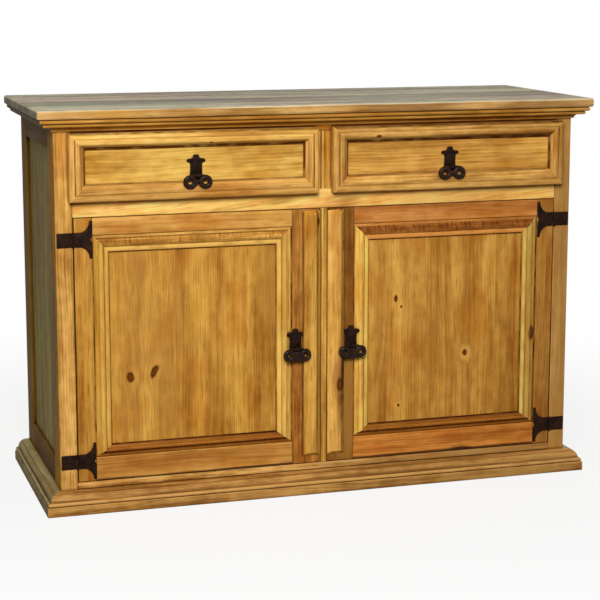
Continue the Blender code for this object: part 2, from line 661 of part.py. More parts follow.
def make_drawer(side_name, side, woods, drawer):
    """A lapping front with a moulding, and a box whose bottom is held in grooves."""
    name = f"drawer_{side_name}"
    near, far = DRAWER_INNER - DRAWER_LAP, POST_INNER + DRAWER_LAP
    height = (MID_RAIL_TOP - DRAWER_LAP, TOP_RAIL_BOTTOM + DRAWER_LAP)
    low, high = sided_block(side, near, far, (DRAWER_FACE, DRAWER_FRONT_BACK), height)
    ease(add(f"{name}_front", block(low, high), woods["front"], drawer))
    moulding = mitred_frame(drawer_moulding_profile(), (low[0], high[0]), height, DRAWER_FACE - GAP)
    add(f"{name}_moulding", moulding, woods["moulding"], drawer, smooth=True)
    box_near = DRAWER_INNER + DRAWER_SIDE_CLEARANCE
    box_far = POST_INNER - DRAWER_SIDE_CLEARANCE
    box_front = DRAWER_FRONT_BACK + GAP
    box_back = BACK_FACE - DRAWER_BACK_CLEARANCE
    box_bottom = MID_RAIL_TOP + GAP
    box_top = TOP_RAIL_BOTTOM - DRAWER_TOP_CLEARANCE
    inside_near, inside_far = box_near + DRAWER_SIDE_THICKNESS, box_far - DRAWER_SIDE_THICKNESS
    inside_back = box_back - DRAWER_SIDE_THICKNESS
    plan = [
        (box_near, box_front), (inside_near, box_front),
        (inside_near, inside_back), (inside_far, inside_back),
        (inside_far, box_front), (box_far, box_front),
        (box_far, box_back), (box_near, box_back),
    ]
    walls = prism([(side * x, y) for x, y in plan], "Z", box_bottom, box_top)
    box = add(f"{name}_box", walls, woods["box"], drawer)
    bottom_low, bottom_high = sided_block(
        side, inside_near - HOUSING_DEPTH, inside_far + HOUSING_DEPTH,
        (box_front, inside_back + HOUSING_DEPTH),
        (box_bottom + DRAWER_BOTTOM_LIFT, box_bottom + DRAWER_BOTTOM_LIFT + DRAWER_BOTTOM_THICKNESS),
    )
    add(f"{name}_bottom", block(bottom_low, bottom_high), woods["box"], drawer)
    cut_box([box], f"{name}_bottom_groove", bottom_low, bottom_high)


def leaf_prism(outline, side, away, height):
    """A hinge leaf cut from sheet, lying on the face of the cabinet. Its outline is measured from the pin."""
    back = FRONT - GAP
    points = [(side * (HINGE_X + away * u), height + z) for u, z in outline]
    return prism(points, "Y", back, back - LEAF_THICKNESS)


def post_leaf(name, side, height, iron, body):
    """The plain leaf on the post, with two knuckles and the pin riveted into them."""
    half = POST_LEAF_HEIGHT / 2
    inner = DOOR_KNUCKLE_HEIGHT / 2 + GAP
    clear = KNUCKLE_RADIUS + 2 * GAP
    outline = [
        (0, half), (POST_LEAF_LENGTH, half), (POST_LEAF_LENGTH, -half), (0, -half),
        (0, -inner), (clear, -inner), (clear, inner), (0, inner),
    ]
    leaf = add(name, leaf_prism(outline, side, 1, height), iron, body, smooth=True)
    pin_place = (side * HINGE_X, HINGE_Y, height)
    pin = barrel(pin_place, PIN_RADIUS, POST_LEAF_HEIGHT - 2 * PIN_END_INSET, "Z", PIN_SIDES)
    boolean(leaf, helper(f"{name}_pin", pin), "UNION")
    for end in (-1, 1):
        knuckle_place = (pin_place[0], HINGE_Y, height + end * (half + inner) / 2)
        knuckle = barrel(knuckle_place, KNUCKLE_RADIUS, half - inner, "Z")
        boolean(leaf, helper(f"{name}_knuckle", knuckle), "UNION")


def door_leaf(name, side, height, iron, door):
    """The flared leaf on the door: a neck, then concave edges out to two tips and a notch between them."""
    tongue = DOOR_KNUCKLE_HEIGHT / 2
    clear = KNUCKLE_RADIUS + 2 * GAP
    neck = NECK_HEIGHT / 2
    tip = TAIL_HEIGHT / 2
    length = NECK_LENGTH + TAIL_LENGTH
    flare = (TAIL_LENGTH - TAIL_TIP_WIDTH, tip - neck)
    upper = [(0, tongue), (clear, tongue), (clear, neck)]
    upper += arc((NECK_LENGTH, tip), flare, -90, 0)
    upper += [(length, tip), (length, 2 * TAIL_NOTCH)]
    lower = [(u, -z) for u, z in reversed(upper)]
    outline = upper + [(length - TAIL_NOTCH, 0)] + lower
    leaf = add(name, leaf_prism(outline, side, -1, height), iron, door, smooth=True)
    place = (side * HINGE_X, HINGE_Y, height)
    knuckle = barrel(place, KNUCKLE_RADIUS, DOOR_KNUCKLE_HEIGHT, "Z")
    boolean(leaf, helper(f"{name}_knuckle", knuckle), "UNION")
    bore = barrel(place, KNUCKLE_BORE_RADIUS, 2 * DOOR_KNUCKLE_HEIGHT, "Z", PIN_SIDES)
    boolean(leaf, helper(f"{name}_bore", bore), "DIFFERENCE")


def make_hinges(side_name, side, iron, body, door):
    for place, height in HINGE_HEIGHTS.items():
        post_leaf(f"post_{side_name}_{place}_hinge_leaf", side, height, iron, body)
        door_leaf(f"door_{side_name}_{place}_hinge_leaf", side, height, iron, door)


def pull_plate(name, x, face, height, iron, carrier):
    """A cross of sheet iron with an eye standing out of its foot."""
    body, arm, stub = PLATE_BODY_WIDTH / 2, PLATE_ARM_WIDTH / 2, PLATE_STUB_WIDTH / 2
    arm_bottom = PLATE_ARM_TOP - PLATE_ARM_HEIGHT
    right = [
        (body, -PLATE_FOOT), (body, arm_bottom), (arm, arm_bottom), (arm, PLATE_ARM_TOP),
        (stub, PLATE_ARM_TOP), (stub, PLATE_TOP),
    ]
    outline = right + [(-u, z) for u, z in reversed(right)]
    back = face - GAP
    sheet = prism([(x + u, height + z) for u, z in outline], "Y", back, back - PLATE_THICKNESS)
    plate = add(name, sheet, iron, carrier, smooth=True)
    root = back - PLATE_THICKNESS / 2
    eye_y = back - EYE_REACH
    side_view = [(root, height - EYE_RADIUS)]
    side_view += arc((eye_y, height), (EYE_RADIUS, EYE_RADIUS), 270, 90, EYE_STEPS)
    side_view.append((root, height + EYE_RADIUS))
    stem = prism(side_view, "X", x - EYE_WIDTH / 2, x + EYE_WIDTH / 2)
    boolean(plate, helper(f"{name}_stem", stem), "UNION")
    bore = barrel((x, eye_y, height), EYE_BORE_RADIUS, 2 * EYE_WIDTH, "X")
    boolean(plate, helper(f"{name}_bore", bore), "DIFFERENCE")


def lobe(centre):
    """One closed loop of round iron, standing in the plane of the face."""
    rings = []
    for i in range(LOBE_STEPS):
        turn = 2 * math.pi * i / LOBE_STEPS
        across, up = math.cos(turn), math.sin(turn)
        middle = Vector((centre[0] + LOBE_HALF_WIDTH * across, centre[1], centre[2] + LOBE_HALF_HEIGHT * up))
        outwards = Vector((across / LOBE_HALF_WIDTH, 0, up / LOBE_HALF_HEIGHT)).normalized()
        ring = []
        for j in range(WIRE_SIDES):
            angle = 2 * math.pi * j / WIRE_SIDES
            around = outwards * math.cos(angle) + Vector((0, math.sin(angle), 0))
            ring.append(middle + RING_WIRE_RADIUS * around)
        rings.append(ring)
    return loft(rings, closed=True)


def pull_ring(name, x, face, height, iron, carrier):
    """Two lobes on a bar that turns in the eye, joined by a collar between them."""
    eye_y = face - GAP - EYE_REACH
    bar = barrel((x, eye_y, height), RING_BAR_RADIUS, RING_BAR_LENGTH, "X", PIN_SIDES)
    ring = add(name, bar, iron, carrier, smooth=True)
    low = height - LOBE_DROP
    for end in (-1, 1):
        boolean(ring, helper(f"{name}_lobe", lobe((x + end * LOBE_SPACING / 2, eye_y, low))), "UNION")
    collar = barrel((x, eye_y, low), COLLAR_RADIUS, COLLAR_LENGTH, "X", PIN_SIDES)
    boolean(ring, helper(f"{name}_collar", collar), "UNION")


def make_pull(name, x, face, height, iron, carrier):
    pull_plate(f"{name}_pull_plate", x, face, height, iron, carrier)
    swing = axis_empty(f"{name}_pull_axis", (x, face - GAP - EYE_REACH, height), carrier)
    pull_ring(f"{name}_pull_ring", x, face, height, iron, swing)


def build():
    clear_scene()
    honey = finish("honey pine", (0.58, 0.28, 0.05), 0.5)
    pale = finish("pale pine", (0.72, 0.42, 0.11), 0.5)
    reddish = finish("reddish pine", (0.40, 0.14, 0.03), 0.5)
    grey_top = finish("weathered pine", (0.33, 0.27, 0.19), 0.55)
    inner = finish("unfinished pine", (0.62, 0.42, 0.20), 0.7)
    iron = finish("black wrought iron", (0.018, 0.013, 0.011), 0.55, 0.9)
    body = axis_empty("carcass", (0, 0, 0))
    make_top(grey_top, body)
    make_cornice(honey, body)
    make_plinth(honey, body)
    posts = make_posts(honey, body)
    make_sides(honey, body, posts)
    make_front_rails(pale, body, posts)
    make_centre_post(pale, body)
    make_inside(inner, body, posts)
    drawer_woods = {"front": pale, "moulding": honey, "box": inner}
    drawer_middle = (DRAWER_INNER + POST_INNER) / 2
    for side_name, side in SIDES.items():
        rail = honey if side < 0 else reddish
        door_woods = {"stile": honey, "rail": rail, "panel": pale, "moulding": honey, "batten": pale}
        door = axis_empty(f"door_{side_name}", (side * HINGE_X, HINGE_Y, DOOR_BOTTOM), body)
        make_door(side_name, side, door_woods, door)
        make_hinges(side_name, side, iron, body, door)
        make_pull(f"door_{side_name}", side * DOOR_PULL_FROM_CENTRE, FRONT, DOOR_PULL_HEIGHT, iron, door)
        drawer = axis_empty(f"drawer_{side_name}", (side * drawer_middle, DRAWER_FACE, MID_RAIL_TOP), body)
        make_drawer(side_name, side, drawer_woods, drawer)
        make_pull(f"drawer_{side_name}", side * drawer_middle, DRAWER_FACE, DRAWER_PULL_HEIGHT, iron, drawer)


build()
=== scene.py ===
"""Looks of a rustic pine buffet cabinet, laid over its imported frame.

Metres, +Z up, the front faces -Y. The sections follow the cabinet as it is put together.
"""

import json
import math

import bmesh
import bpy
import numpy as np
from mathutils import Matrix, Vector

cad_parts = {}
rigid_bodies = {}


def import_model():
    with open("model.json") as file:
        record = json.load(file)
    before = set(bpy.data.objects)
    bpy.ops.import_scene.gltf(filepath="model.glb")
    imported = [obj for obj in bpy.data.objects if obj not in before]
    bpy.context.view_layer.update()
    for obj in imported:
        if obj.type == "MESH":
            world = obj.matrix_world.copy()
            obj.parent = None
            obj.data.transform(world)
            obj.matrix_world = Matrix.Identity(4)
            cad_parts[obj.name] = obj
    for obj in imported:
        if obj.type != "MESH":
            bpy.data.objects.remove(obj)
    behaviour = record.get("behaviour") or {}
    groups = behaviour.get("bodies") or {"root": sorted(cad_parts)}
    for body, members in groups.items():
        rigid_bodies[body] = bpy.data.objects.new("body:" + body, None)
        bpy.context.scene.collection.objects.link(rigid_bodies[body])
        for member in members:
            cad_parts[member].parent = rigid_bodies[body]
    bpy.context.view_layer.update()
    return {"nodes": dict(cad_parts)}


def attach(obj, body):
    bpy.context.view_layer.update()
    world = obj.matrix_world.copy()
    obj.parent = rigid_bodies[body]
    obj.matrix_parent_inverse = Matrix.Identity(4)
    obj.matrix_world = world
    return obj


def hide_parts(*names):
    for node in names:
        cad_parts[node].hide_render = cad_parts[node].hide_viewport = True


for old in list(bpy.data.objects):
    bpy.data.objects.remove(old, do_unlink=True)
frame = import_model()
boards = frame["nodes"]


# Corner posts: square posts of solid knotty pine, mortised for the rails and waxed to a warm honey.
# Pine shows broad soft streaks along the grain and thin darker lines of late wood between them, and every
# inside corner is darkened by occlusion, partly dark wax and partly painted shade.
FRONT = -0.2015
SIDE = 0.573


def linear(hex_colour):
    """An sRGB hex value as a linear colour."""
    parts = [int(hex_colour[i:i + 2], 16) / 255 for i in (1, 3, 5)]
    return [p / 12.92 if p <= 0.04045 else ((p + 0.055) / 1.055) ** 2.4 for p in parts] + [1.0]


def put(tree, kind, links=None, stops=(), **settings):
    """Adds a node with its settings. Each entry of links is a socket's value or what feeds it, and the stops of
    a colour ramp are (place, linear colour)."""
    made = tree.nodes.new(kind)
    for name, value in settings.items():
        setattr(made, name, value)
    for socket, value in (links or {}).items():
        if isinstance(value, bpy.types.NodeSocket):
            tree.links.new(value, made.inputs[socket])
        else:
            made.inputs[socket].default_value = value
    if stops:
        points = made.color_ramp.elements
        points.remove(points[1])
        points[0].position, points[0].color = stops[0]
        for place, colour in stops[1:]:
            points.new(place).color = colour
    return made


def lay_boards(tree, along, face, face_at, board, seam, seed, slant):
    """Places in a piece of wood: across its boards, into them and along the grain. A wide piece is glued up from
    boards, and each has a number, its own chances from that and its own heart of the tree."""
    across = ({"X", "Y", "Z"} - {along, face}).pop()
    axes = put(tree, "ShaderNodeSeparateXYZ", {0: put(tree, "ShaderNodeTexCoord").outputs["Object"]}).outputs
    depth = axes[face]
    if face == "X":
        depth = put(tree, "ShaderNodeMath", {0: depth}, operation="ABSOLUTE").outputs[0]
    level = put(tree, "ShaderNodeMath", {0: axes[along], 1: -slant, 2: axes[across]},
                operation="MULTIPLY_ADD").outputs[0]
    laid = put(tree, "ShaderNodeCombineXYZ", {0: level, 1: depth, 2: axes[along]}).outputs[0]

    shifted = put(tree, "ShaderNodeMath", {0: axes[across], 1: seam}, operation="SUBTRACT").outputs[0]
    counted = put(tree, "ShaderNodeMath", {0: shifted, 1: board}, operation="DIVIDE").outputs[0]
    number = put(tree, "ShaderNodeMath", {0: counted}, operation="FLOOR").outputs[0]
    ticket = put(tree, "ShaderNodeCombineXYZ", {0: number, 1: float(seed)}).outputs[0]
    chance = put(tree, "ShaderNodeTexWhiteNoise", {"Vector": ticket}, noise_dimensions="2D").outputs["Color"]
    drift = put(tree, "ShaderNodeVectorMath", {0: chance, "Scale": 37.0}, operation="SCALE").outputs[0]

    # The heart wanders along the board, and the year rings are counted from it
    middle = put(tree, "ShaderNodeMath", {0: number, 1: board, 2: seam + board / 2},
                 operation="MULTIPLY_ADD").outputs[0]
    heart = put(tree, "ShaderNodeCombineXYZ", {0: middle, 1: face_at - 0.045, 2: axes[along]}).outputs[0]
    slow = put(tree, "ShaderNodeVectorMath", {0: laid, 1: (1.5, 1.5, 1.6), 2: drift},
               operation="MULTIPLY_ADD").outputs[0]
    wander = put(tree, "ShaderNodeTexNoise", {"Vector": slow, "Scale": 1.0, "Detail": 1.5}).outputs["Color"]
    sway = put(tree, "ShaderNodeVectorMath", {0: wander, 1: (0.06, 0.04, 0.0), 2: (-0.03, -0.02, 0.0)},
               operation="MULTIPLY_ADD").outputs[0]
    offset = put(tree, "ShaderNodeVectorMath", {0: chance, 1: (0.9 * board, 0.03, 0.0), 2: sway},
                 operation="MULTIPLY_ADD").outputs[0]
    radial = put(tree, "ShaderNodeVectorMath", {0: laid, 1: heart}, operation="SUBTRACT").outputs[0]
    radial = put(tree, "ShaderNodeVectorMath", {0: radial, 1: offset}, operation="ADD").outputs[0]
    distance = put(tree, "ShaderNodeVectorMath", {0: radial}, operation="LENGTH").outputs["Value"]
    year_ring = 0.0046
    years = put(tree, "ShaderNodeMath", {0: distance, 1: year_ring}, operation="DIVIDE").outputs[0]
    return {"axes": axes, "laid": laid, "flow": laid, "chance": chance, "drift": drift, "years": years}


def set_knots(tree, wood, knots):
    """Knots push the grain aside and bend the year rings. Gives how far a point lies from each, in knot sizes."""
    ovals = []
    for at_across, at_along, half_width, half_length, lean, paleness in knots:
        from_knot = put(tree, "ShaderNodeVectorMath", {0: wood["laid"], 1: (at_across, 0.0, at_along)},
                        operation="SUBTRACT").outputs[0]
        wide = put(tree, "ShaderNodeVectorMath", {0: from_knot, 1: (1 / half_width, 0.0, -lean / half_width)},
                   operation="DOT_PRODUCT").outputs["Value"]
        tall = put(tree, "ShaderNodeVectorMath", {0: from_knot, 1: (0.0, 0.0, 1 / half_length)},
                   operation="DOT_PRODUCT").outputs["Value"]
        oval = put(tree, "ShaderNodeCombineXYZ", {0: wide, 1: tall}).outputs[0]
        away = put(tree, "ShaderNodeVectorMath", {0: oval}, operation="LENGTH").outputs["Value"]
        ovals.append((away, paleness))
        bulge = put(tree, "ShaderNodeMapRange", {0: away, 1: 0.6, 2: 4.5, 3: -0.55, 4: 0.0},
                    interpolation_type="SMOOTHERSTEP").outputs[0]
        aside = put(tree, "ShaderNodeVectorMath", {0: from_knot, 1: (1.0, 0.0, 0.0)},
                    operation="MULTIPLY").outputs[0]
        aside = put(tree, "ShaderNodeVectorMath", {0: aside, "Scale": bulge}, operation="SCALE").outputs[0]
        wood["flow"] = put(tree, "ShaderNodeVectorMath", {0: wood["flow"], 1: aside}, operation="ADD").outputs[0]
        wood["years"] = put(tree, "ShaderNodeMath", {0: bulge, 1: -1.0, 2: wood["years"]},
                            operation="MULTIPLY_ADD").outputs[0]
    return ovals


def draw_grain(tree, wood, spread, each):
    """Streaks of 40 mm, 9 mm and 1.5 mm across, drawn out along the grain, clouds between them, the late wood of
    each year and what sets one board off from the next, as one tone from 0, dark, to 1, pale."""
    for label, field, cycles, detail in (
            ("broad", "flow", (26.0, 26.0, 2.2), 2.0), ("narrow", "flow", (125.0, 125.0, 4.5), 3.0),
            ("fibre", "flow", (650.0, 650.0, 16.0), 1.0), ("cloud", "laid", (52.0, 52.0, 30.0), 4.0),
            ("patch", "laid", (16.0, 16.0, 7.0), 2.0), ("ducts", "laid", (330.0, 330.0, 24.0), 0.0)):
        place = put(tree, "ShaderNodeVectorMath", {0: wood[field], 1: cycles, 2: wood["drift"]},
                    operation="MULTIPLY_ADD").outputs[0]
        wood[label] = put(tree, "ShaderNodeTexNoise", {"Vector": place, "Scale": 1.0, "Detail": detail}).outputs[0]
    saw = put(tree, "ShaderNodeMath", {0: wood["years"]}, operation="FRACT").outputs[0]
    wood["late"] = put(tree, "ShaderNodeMapRange", {0: saw, 1: 0.30, 2: 0.86}, interpolation_type="SMOOTHSTEP").outputs[0]
    wood["own"] = put(tree, "ShaderNodeSeparateXYZ", {0: wood["chance"]}).outputs[2]
    shares = {"broad": 1.5, "narrow": 0.9, "fibre": 0.55, "cloud": 0.75, "own": each, "late": -0.12}
    tone = 0.5 - 0.5 * spread * sum(shares.values())
    for label, share in shares.items():
        tone = put(tree, "ShaderNodeMath", {0: wood[label], 1: share * spread, 2: tone},
                   operation="MULTIPLY_ADD").outputs[0]
    wood["tone"] = tone


def drawn_lines(tree, wood, lines):
    """Lines along a moulding, each (place across its section, half width, strength), uneven as hand work is."""
    drawn = put(tree, "ShaderNodeAttribute", attribute_name="section_at").outputs["Vector"]
    breadth = put(tree, "ShaderNodeSeparateXYZ", {0: drawn}).outputs[0]
    uneven = put(tree, "ShaderNodeMapRange", {0: wood["cloud"], 1: 0.35, 2: 0.62, 3: 0.55, 4: 1.25}).outputs[0]
    most = 0.0
    for place, half_width, strength in lines:
        gap = put(tree, "ShaderNodeMath", {0: breadth, 1: place}, operation="SUBTRACT").outputs[0]
        gap = put(tree, "ShaderNodeMath", {0: gap}, operation="ABSOLUTE").outputs[0]
        line = put(tree, "ShaderNodeMapRange", {0: gap, 1: 0.3 * half_width, 2: 1.3 * half_width, 3: strength, 4: 0.0},
                   interpolation_type="SMOOTHSTEP").outputs[0]
        line = put(tree, "ShaderNodeMath", {0: line, 1: uneven}, operation="MULTIPLY", use_clamp=True).outputs[0]
        most = put(tree, "ShaderNodeMath", {0: most, 1: line}, operation="MAXIMUM").outputs[0]
    return most


def wipe_off_and_paint_light(tree, wood, colour, grey, height, half_length, painted_end_shade):
    """Colour for faces above a height and beyond two ends. Above the height the honey is worn off and the grey
    is partly a painted sheen of the white surround; beyond the ends the end faces are painted darker for their
    shade, times a painted end shade. A pale line along the rounded arris is rubbed wear and a painted highlight.
    """
    grey = linear(grey)
    top_and_end_colour = put(tree, "ShaderNodeValToRGB", {0: wood["tone"]},
                stops=[(0.0, [c * 0.42 for c in grey[:3]] + [1.0]), (0.5, grey),
                       (1.0, [c * 1.8 for c in grey[:3]] + [1.0])]).outputs[0]
    slow = put(tree, "ShaderNodeVectorMath", {0: wood["laid"], 1: (5.0, 5.0, 2.2), 2: (0.0, 0.0, 3.0)},
               operation="MULTIPLY_ADD").outputs[0]
    slow = put(tree, "ShaderNodeTexNoise", {"Vector": slow, "Scale": 1.0, "Detail": 2.0}).outputs[0]
    bloom = put(tree, "ShaderNodeValToRGB", {0: slow},
                stops=[(0.36, (0.86, 0.97, 0.90, 1)), (0.50, (1, 1, 1, 1)), (0.64, (1.0, 0.92, 0.92, 1))]).outputs[0]
    top_and_end_colour = put(tree, "ShaderNodeMix", {0: 1.0, 6: top_and_end_colour, 7: bloom}, data_type="RGBA",
                blend_type="MULTIPLY").outputs[2]
    above = put(tree, "ShaderNodeMapRange", {0: wood["axes"]["Z"], 1: height - 0.0008, 2: height + 0.0008}).outputs[0]
    reach = put(tree, "ShaderNodeMath", {0: wood["axes"]["X"]}, operation="ABSOLUTE").outputs[0]
    beyond = put(tree, "ShaderNodeMapRange", {0: reach, 1: half_length - 0.001, 2: half_length}).outputs[0]
    top_and_end_colour = put(tree, "ShaderNodeMix", {0: beyond, 6: top_and_end_colour, 7: linear(painted_end_shade)}, data_type="RGBA",
                blend_type="MULTIPLY").outputs[2]
    # The faces above the height are worn grey with a painted sheen, and the end faces take painted shade
    worn = put(tree, "ShaderNodeMath", {0: above, 1: beyond}, operation="MAXIMUM").outputs[0]
    colour = put(tree, "ShaderNodeMix", {0: worn, 6: colour, 7: top_and_end_colour}, data_type="RGBA").outputs[2]
    # A pale line along the rounded arris: rubbed wear and a painted highlight
    from_edge = put(tree, "ShaderNodeMath", {0: wood["axes"]["Z"], 1: height - 0.0006}, operation="SUBTRACT").outputs[0]
    from_edge = put(tree, "ShaderNodeMath", {0: from_edge}, operation="ABSOLUTE").outputs[0]
    rubbed = put(tree, "ShaderNodeMapRange", {0: from_edge, 1: 0.0004, 2: 0.0016, 3: 0.85, 4: 0.0}).outputs[0]
    here = put(tree, "ShaderNodeMapRange", {0: wood["patch"], 1: 0.40, 2: 0.60, 3: 0.25, 4: 1.0}).outputs[0]
    rubbed = put(tree, "ShaderNodeMath", {0: rubbed, 1: here}, operation="MULTIPLY").outputs[0]
    return put(tree, "ShaderNodeMix", {0: rubbed, 6: colour, 7: linear("#efdcb0")}, data_type="RGBA").outputs[2]


def pine(name, body, along="Z", face="Y", face_at=FRONT, board=0.13, seam=0.0, seed=0, each=0.2, slant=0.0,
         spread=1.0, patches=1.0, knots=(), marks=(), chatter=0.0, wax_and_shade_lines=(), wear_and_highlight_lines=(), wiped_and_painted_light=None, wax_and_shade=0.9,
         wax_and_shade_reach=0.010, wear=0.35, roughness=0.52, shine=0.08):
    """Sawn pine under a waxed finish, darker and redder in its streaks than its body colour and paler between them.
    The grain runs along one axis and the best face looks along another. A knot is (across, along, half width, half
    length, lean, paleness of its ring), and a mark is an oval of colour, (across, along, half width, half length,
    colour, strength): one of the wood's own stains, or painted shade along a gap beside the piece. Chatter is the
    torn cross-grain that a moulding cutter leaves. wax_and_shade sets how dark occlusion makes the inside corners,
    partly dark waxing and partly painted shade, and wax_and_shade_reach how far it looks. wax_and_shade_lines are
    dark lines along a moulding, partly dark waxing and partly painted shade, and wear_and_highlight_lines are pale
    lines, partly rubbed wear and partly painted highlights. wiped_and_painted_light is (colour, height, half
    length, painted shade of the ends): the colour of the faces above that height, whose honey is worn off and whose
    grey is partly a painted sheen of the surround, and of the end faces beyond those ends, painted for their shade."""
    made = bpy.data.materials.new(name)
    made.use_nodes = True
    tree = made.node_tree
    tree.nodes.clear()
    wood = lay_boards(tree, along, face, face_at, board, seam, seed, slant)
    ovals = set_knots(tree, wood, knots)
    draw_grain(tree, wood, spread, each)
    plain = linear(body)
    streak = [plain[0] * 0.55, plain[1] * 0.44, plain[2] * 0.30, 1.0]
    pale = [min(1.0, plain[0] * 1.45), min(1.0, plain[1] * 1.62), min(1.0, plain[2] * 1.95), 1.0]
    colour = put(tree, "ShaderNodeValToRGB", {0: wood["tone"]},
                 stops=[(0.0, streak), (0.5, plain), (1.0, pale)]).outputs[0]

    # The wax took unevenly: redder patches and olive ones, a hand's breadth wide, and dark ducts of resin
    tint = put(tree, "ShaderNodeValToRGB", {0: wood["patch"]},
               stops=[(0.33, (0.84, 0.70, 0.50, 1)), (0.50, (1, 1, 1, 1)), (0.68, (1.0, 1.0, 0.86, 1))]).outputs[0]
    colour = put(tree, "ShaderNodeMix", {0: patches, 6: colour, 7: tint}, data_type="RGBA",
                 blend_type="MULTIPLY").outputs[2]
    ducts = put(tree, "ShaderNodeMapRange", {0: wood["ducts"], 1: 0.68, 2: 0.78, 3: 0.0, 4: 0.5}).outputs[0]
    colour = put(tree, "ShaderNodeMix", {0: ducts, 6: colour, 7: streak}, data_type="RGBA").outputs[2]
    for at_across, at_along, half_width, half_length, mark_colour, strength in marks:
        oval = put(tree, "ShaderNodeVectorMath", {0: wood["laid"], 1: (at_across, 0.0, at_along)},
                   operation="SUBTRACT").outputs[0]
        oval = put(tree, "ShaderNodeVectorMath", {0: oval, 1: (1 / half_width, 0.0, 1 / half_length)},
                   operation="MULTIPLY").outputs[0]
        away = put(tree, "ShaderNodeVectorMath", {0: oval}, operation="LENGTH").outputs["Value"]
        away = put(tree, "ShaderNodeMath", {0: wood["narrow"], 1: 1.4, 2: away}, operation="MULTIPLY_ADD").outputs[0]
        spot = put(tree, "ShaderNodeMapRange", {0: away, 1: 1.1, 2: 1.9, 3: strength, 4: 0.0},
                   interpolation_type="SMOOTHSTEP").outputs[0]
        colour = put(tree, "ShaderNodeMix", {0: spot, 6: colour, 7: linear(mark_colour)}, data_type="RGBA").outputs[2]
    if wiped_and_painted_light:
        colour = wipe_off_and_paint_light(tree, wood, colour, *wiped_and_painted_light)
    if chatter:
        comb = put(tree, "ShaderNodeVectorMath", {0: wood["laid"], 1: (45.0, 45.0, 190.0), 2: wood["drift"]},
                   operation="MULTIPLY_ADD").outputs[0]
        comb = put(tree, "ShaderNodeTexNoise", {"Vector": comb, "Scale": 1.0, "Detail": 2.0}).outputs[0]
        torn = put(tree, "ShaderNodeMapRange", {0: comb, 1: 0.45, 2: 0.68, 3: 0.0, 4: chatter}).outputs[0]
        outer = drawn_lines(tree, wood, ((0.0125, 0.0085, 1.0),))
        torn = put(tree, "ShaderNodeMath", {0: torn, 1: outer}, operation="MULTIPLY").outputs[0]
        scraped = put(tree, "ShaderNodeMix", {0: 1.0, 6: colour, 7: linear("#b0764e")}, data_type="RGBA",
                      blend_type="MULTIPLY").outputs[2]
        colour = put(tree, "ShaderNodeMix", {0: torn, 6: colour, 7: scraped}, data_type="RGBA").outputs[2]

    # Knots stand in a pale ring, with a dark rim and a browner core
    for away, paleness in ovals:
        halo = put(tree, "ShaderNodeMapRange", {0: away, 1: 1.2, 2: 2.8, 3: paleness, 4: 0.0},
                   interpolation_type="SMOOTHSTEP").outputs[0]
        colour = put(tree, "ShaderNodeMix", {0: halo, 6: colour, 7: pale}, data_type="RGBA").outputs[2]
        ragged = put(tree, "ShaderNodeMath", {0: wood["narrow"], 1: 2.0, 2: away}, operation="MULTIPLY_ADD").outputs[0]
        for reach, soft, brown, strength in ((2.20, 0.60, "#5a2c05", 1.0), (1.60, 0.60, "#74400c", 0.75)):
            core = put(tree, "ShaderNodeMapRange", {0: ragged, 1: reach - soft, 2: reach, 3: strength, 4: 0.0},
                       interpolation_type="SMOOTHSTEP").outputs[0]
            colour = put(tree, "ShaderNodeMix", {0: core, 6: colour, 7: linear(brown)}, data_type="RGBA").outputs[2]

    # Arrises rubbed pale, and pale moulding lines, partly wear and partly painted highlights. Inside corners found
    # by occlusion, and the dark moulding lines, are darkened: partly dark wax and partly painted shade.
    edges = put(tree, "ShaderNodeAmbientOcclusion", {"Distance": 0.0020}, samples=6, inside=True,
                only_local=True).outputs["AO"]
    rubbed = put(tree, "ShaderNodeMapRange", {0: edges, 1: 0.55, 2: 0.92, 3: wear, 4: 0.0}).outputs[0]
    if wear_and_highlight_lines:
        rubbed = put(tree, "ShaderNodeMath", {0: rubbed, 1: drawn_lines(tree, wood, wear_and_highlight_lines)},
                     operation="MAXIMUM").outputs[0]
    colour = put(tree, "ShaderNodeMix", {0: rubbed, 6: colour, 7: pale}, data_type="RGBA").outputs[2]
    corners = put(tree, "ShaderNodeAmbientOcclusion", {"Distance": wax_and_shade_reach}, samples=8).outputs["AO"]
    left = put(tree, "ShaderNodeMapRange", {0: corners, 1: 0.30, 2: 0.86, 3: wax_and_shade, 4: 0.0},
               interpolation_type="SMOOTHSTEP").outputs[0]
    if wax_and_shade_lines:
        left = put(tree, "ShaderNodeMath", {0: left, 1: drawn_lines(tree, wood, wax_and_shade_lines)},
                   operation="MAXIMUM").outputs[0]
    waxed = put(tree, "ShaderNodeMix", {0: 1.0, 6: colour, 7: linear("#6b4c22")}, data_type="RGBA",
                blend_type="MULTIPLY").outputs[2]
    colour = put(tree, "ShaderNodeMix", {0: left, 6: colour, 7: waxed}, data_type="RGBA").outputs[2]

    # The late wood stands a little proud after sanding, and takes more polish
    relief = put(tree, "ShaderNodeMath", {0: wood["fibre"], 1: 0.6, 2: wood["late"]},
                 operation="MULTIPLY_ADD").outputs[0]
    bump = put(tree, "ShaderNodeBump", {"Strength": 0.35, "Distance": 0.0004, "Height": relief}).outputs[0]
    polish = put(tree, "ShaderNodeMapRange", {0: wood["tone"], 1: 0.0, 2: 1.0, 3: roughness - 0.08,
                                              4: roughness + 0.08}).outputs[0]
    shader = put(tree, "ShaderNodeBsdfPrincipled", {"Base Color": colour, "Roughness": polish, "IOR": 1.5,
                                                    "Specular IOR Level": shine, "Normal": bump})
    put(tree, "ShaderNodeOutputMaterial", {0: shader.outputs[0]})
    return made


def finish(material, *names):
    """Gives CAD pieces their material."""
    for name in names:
        boards[name].data.materials.clear()
        boards[name].data.materials.append(material)


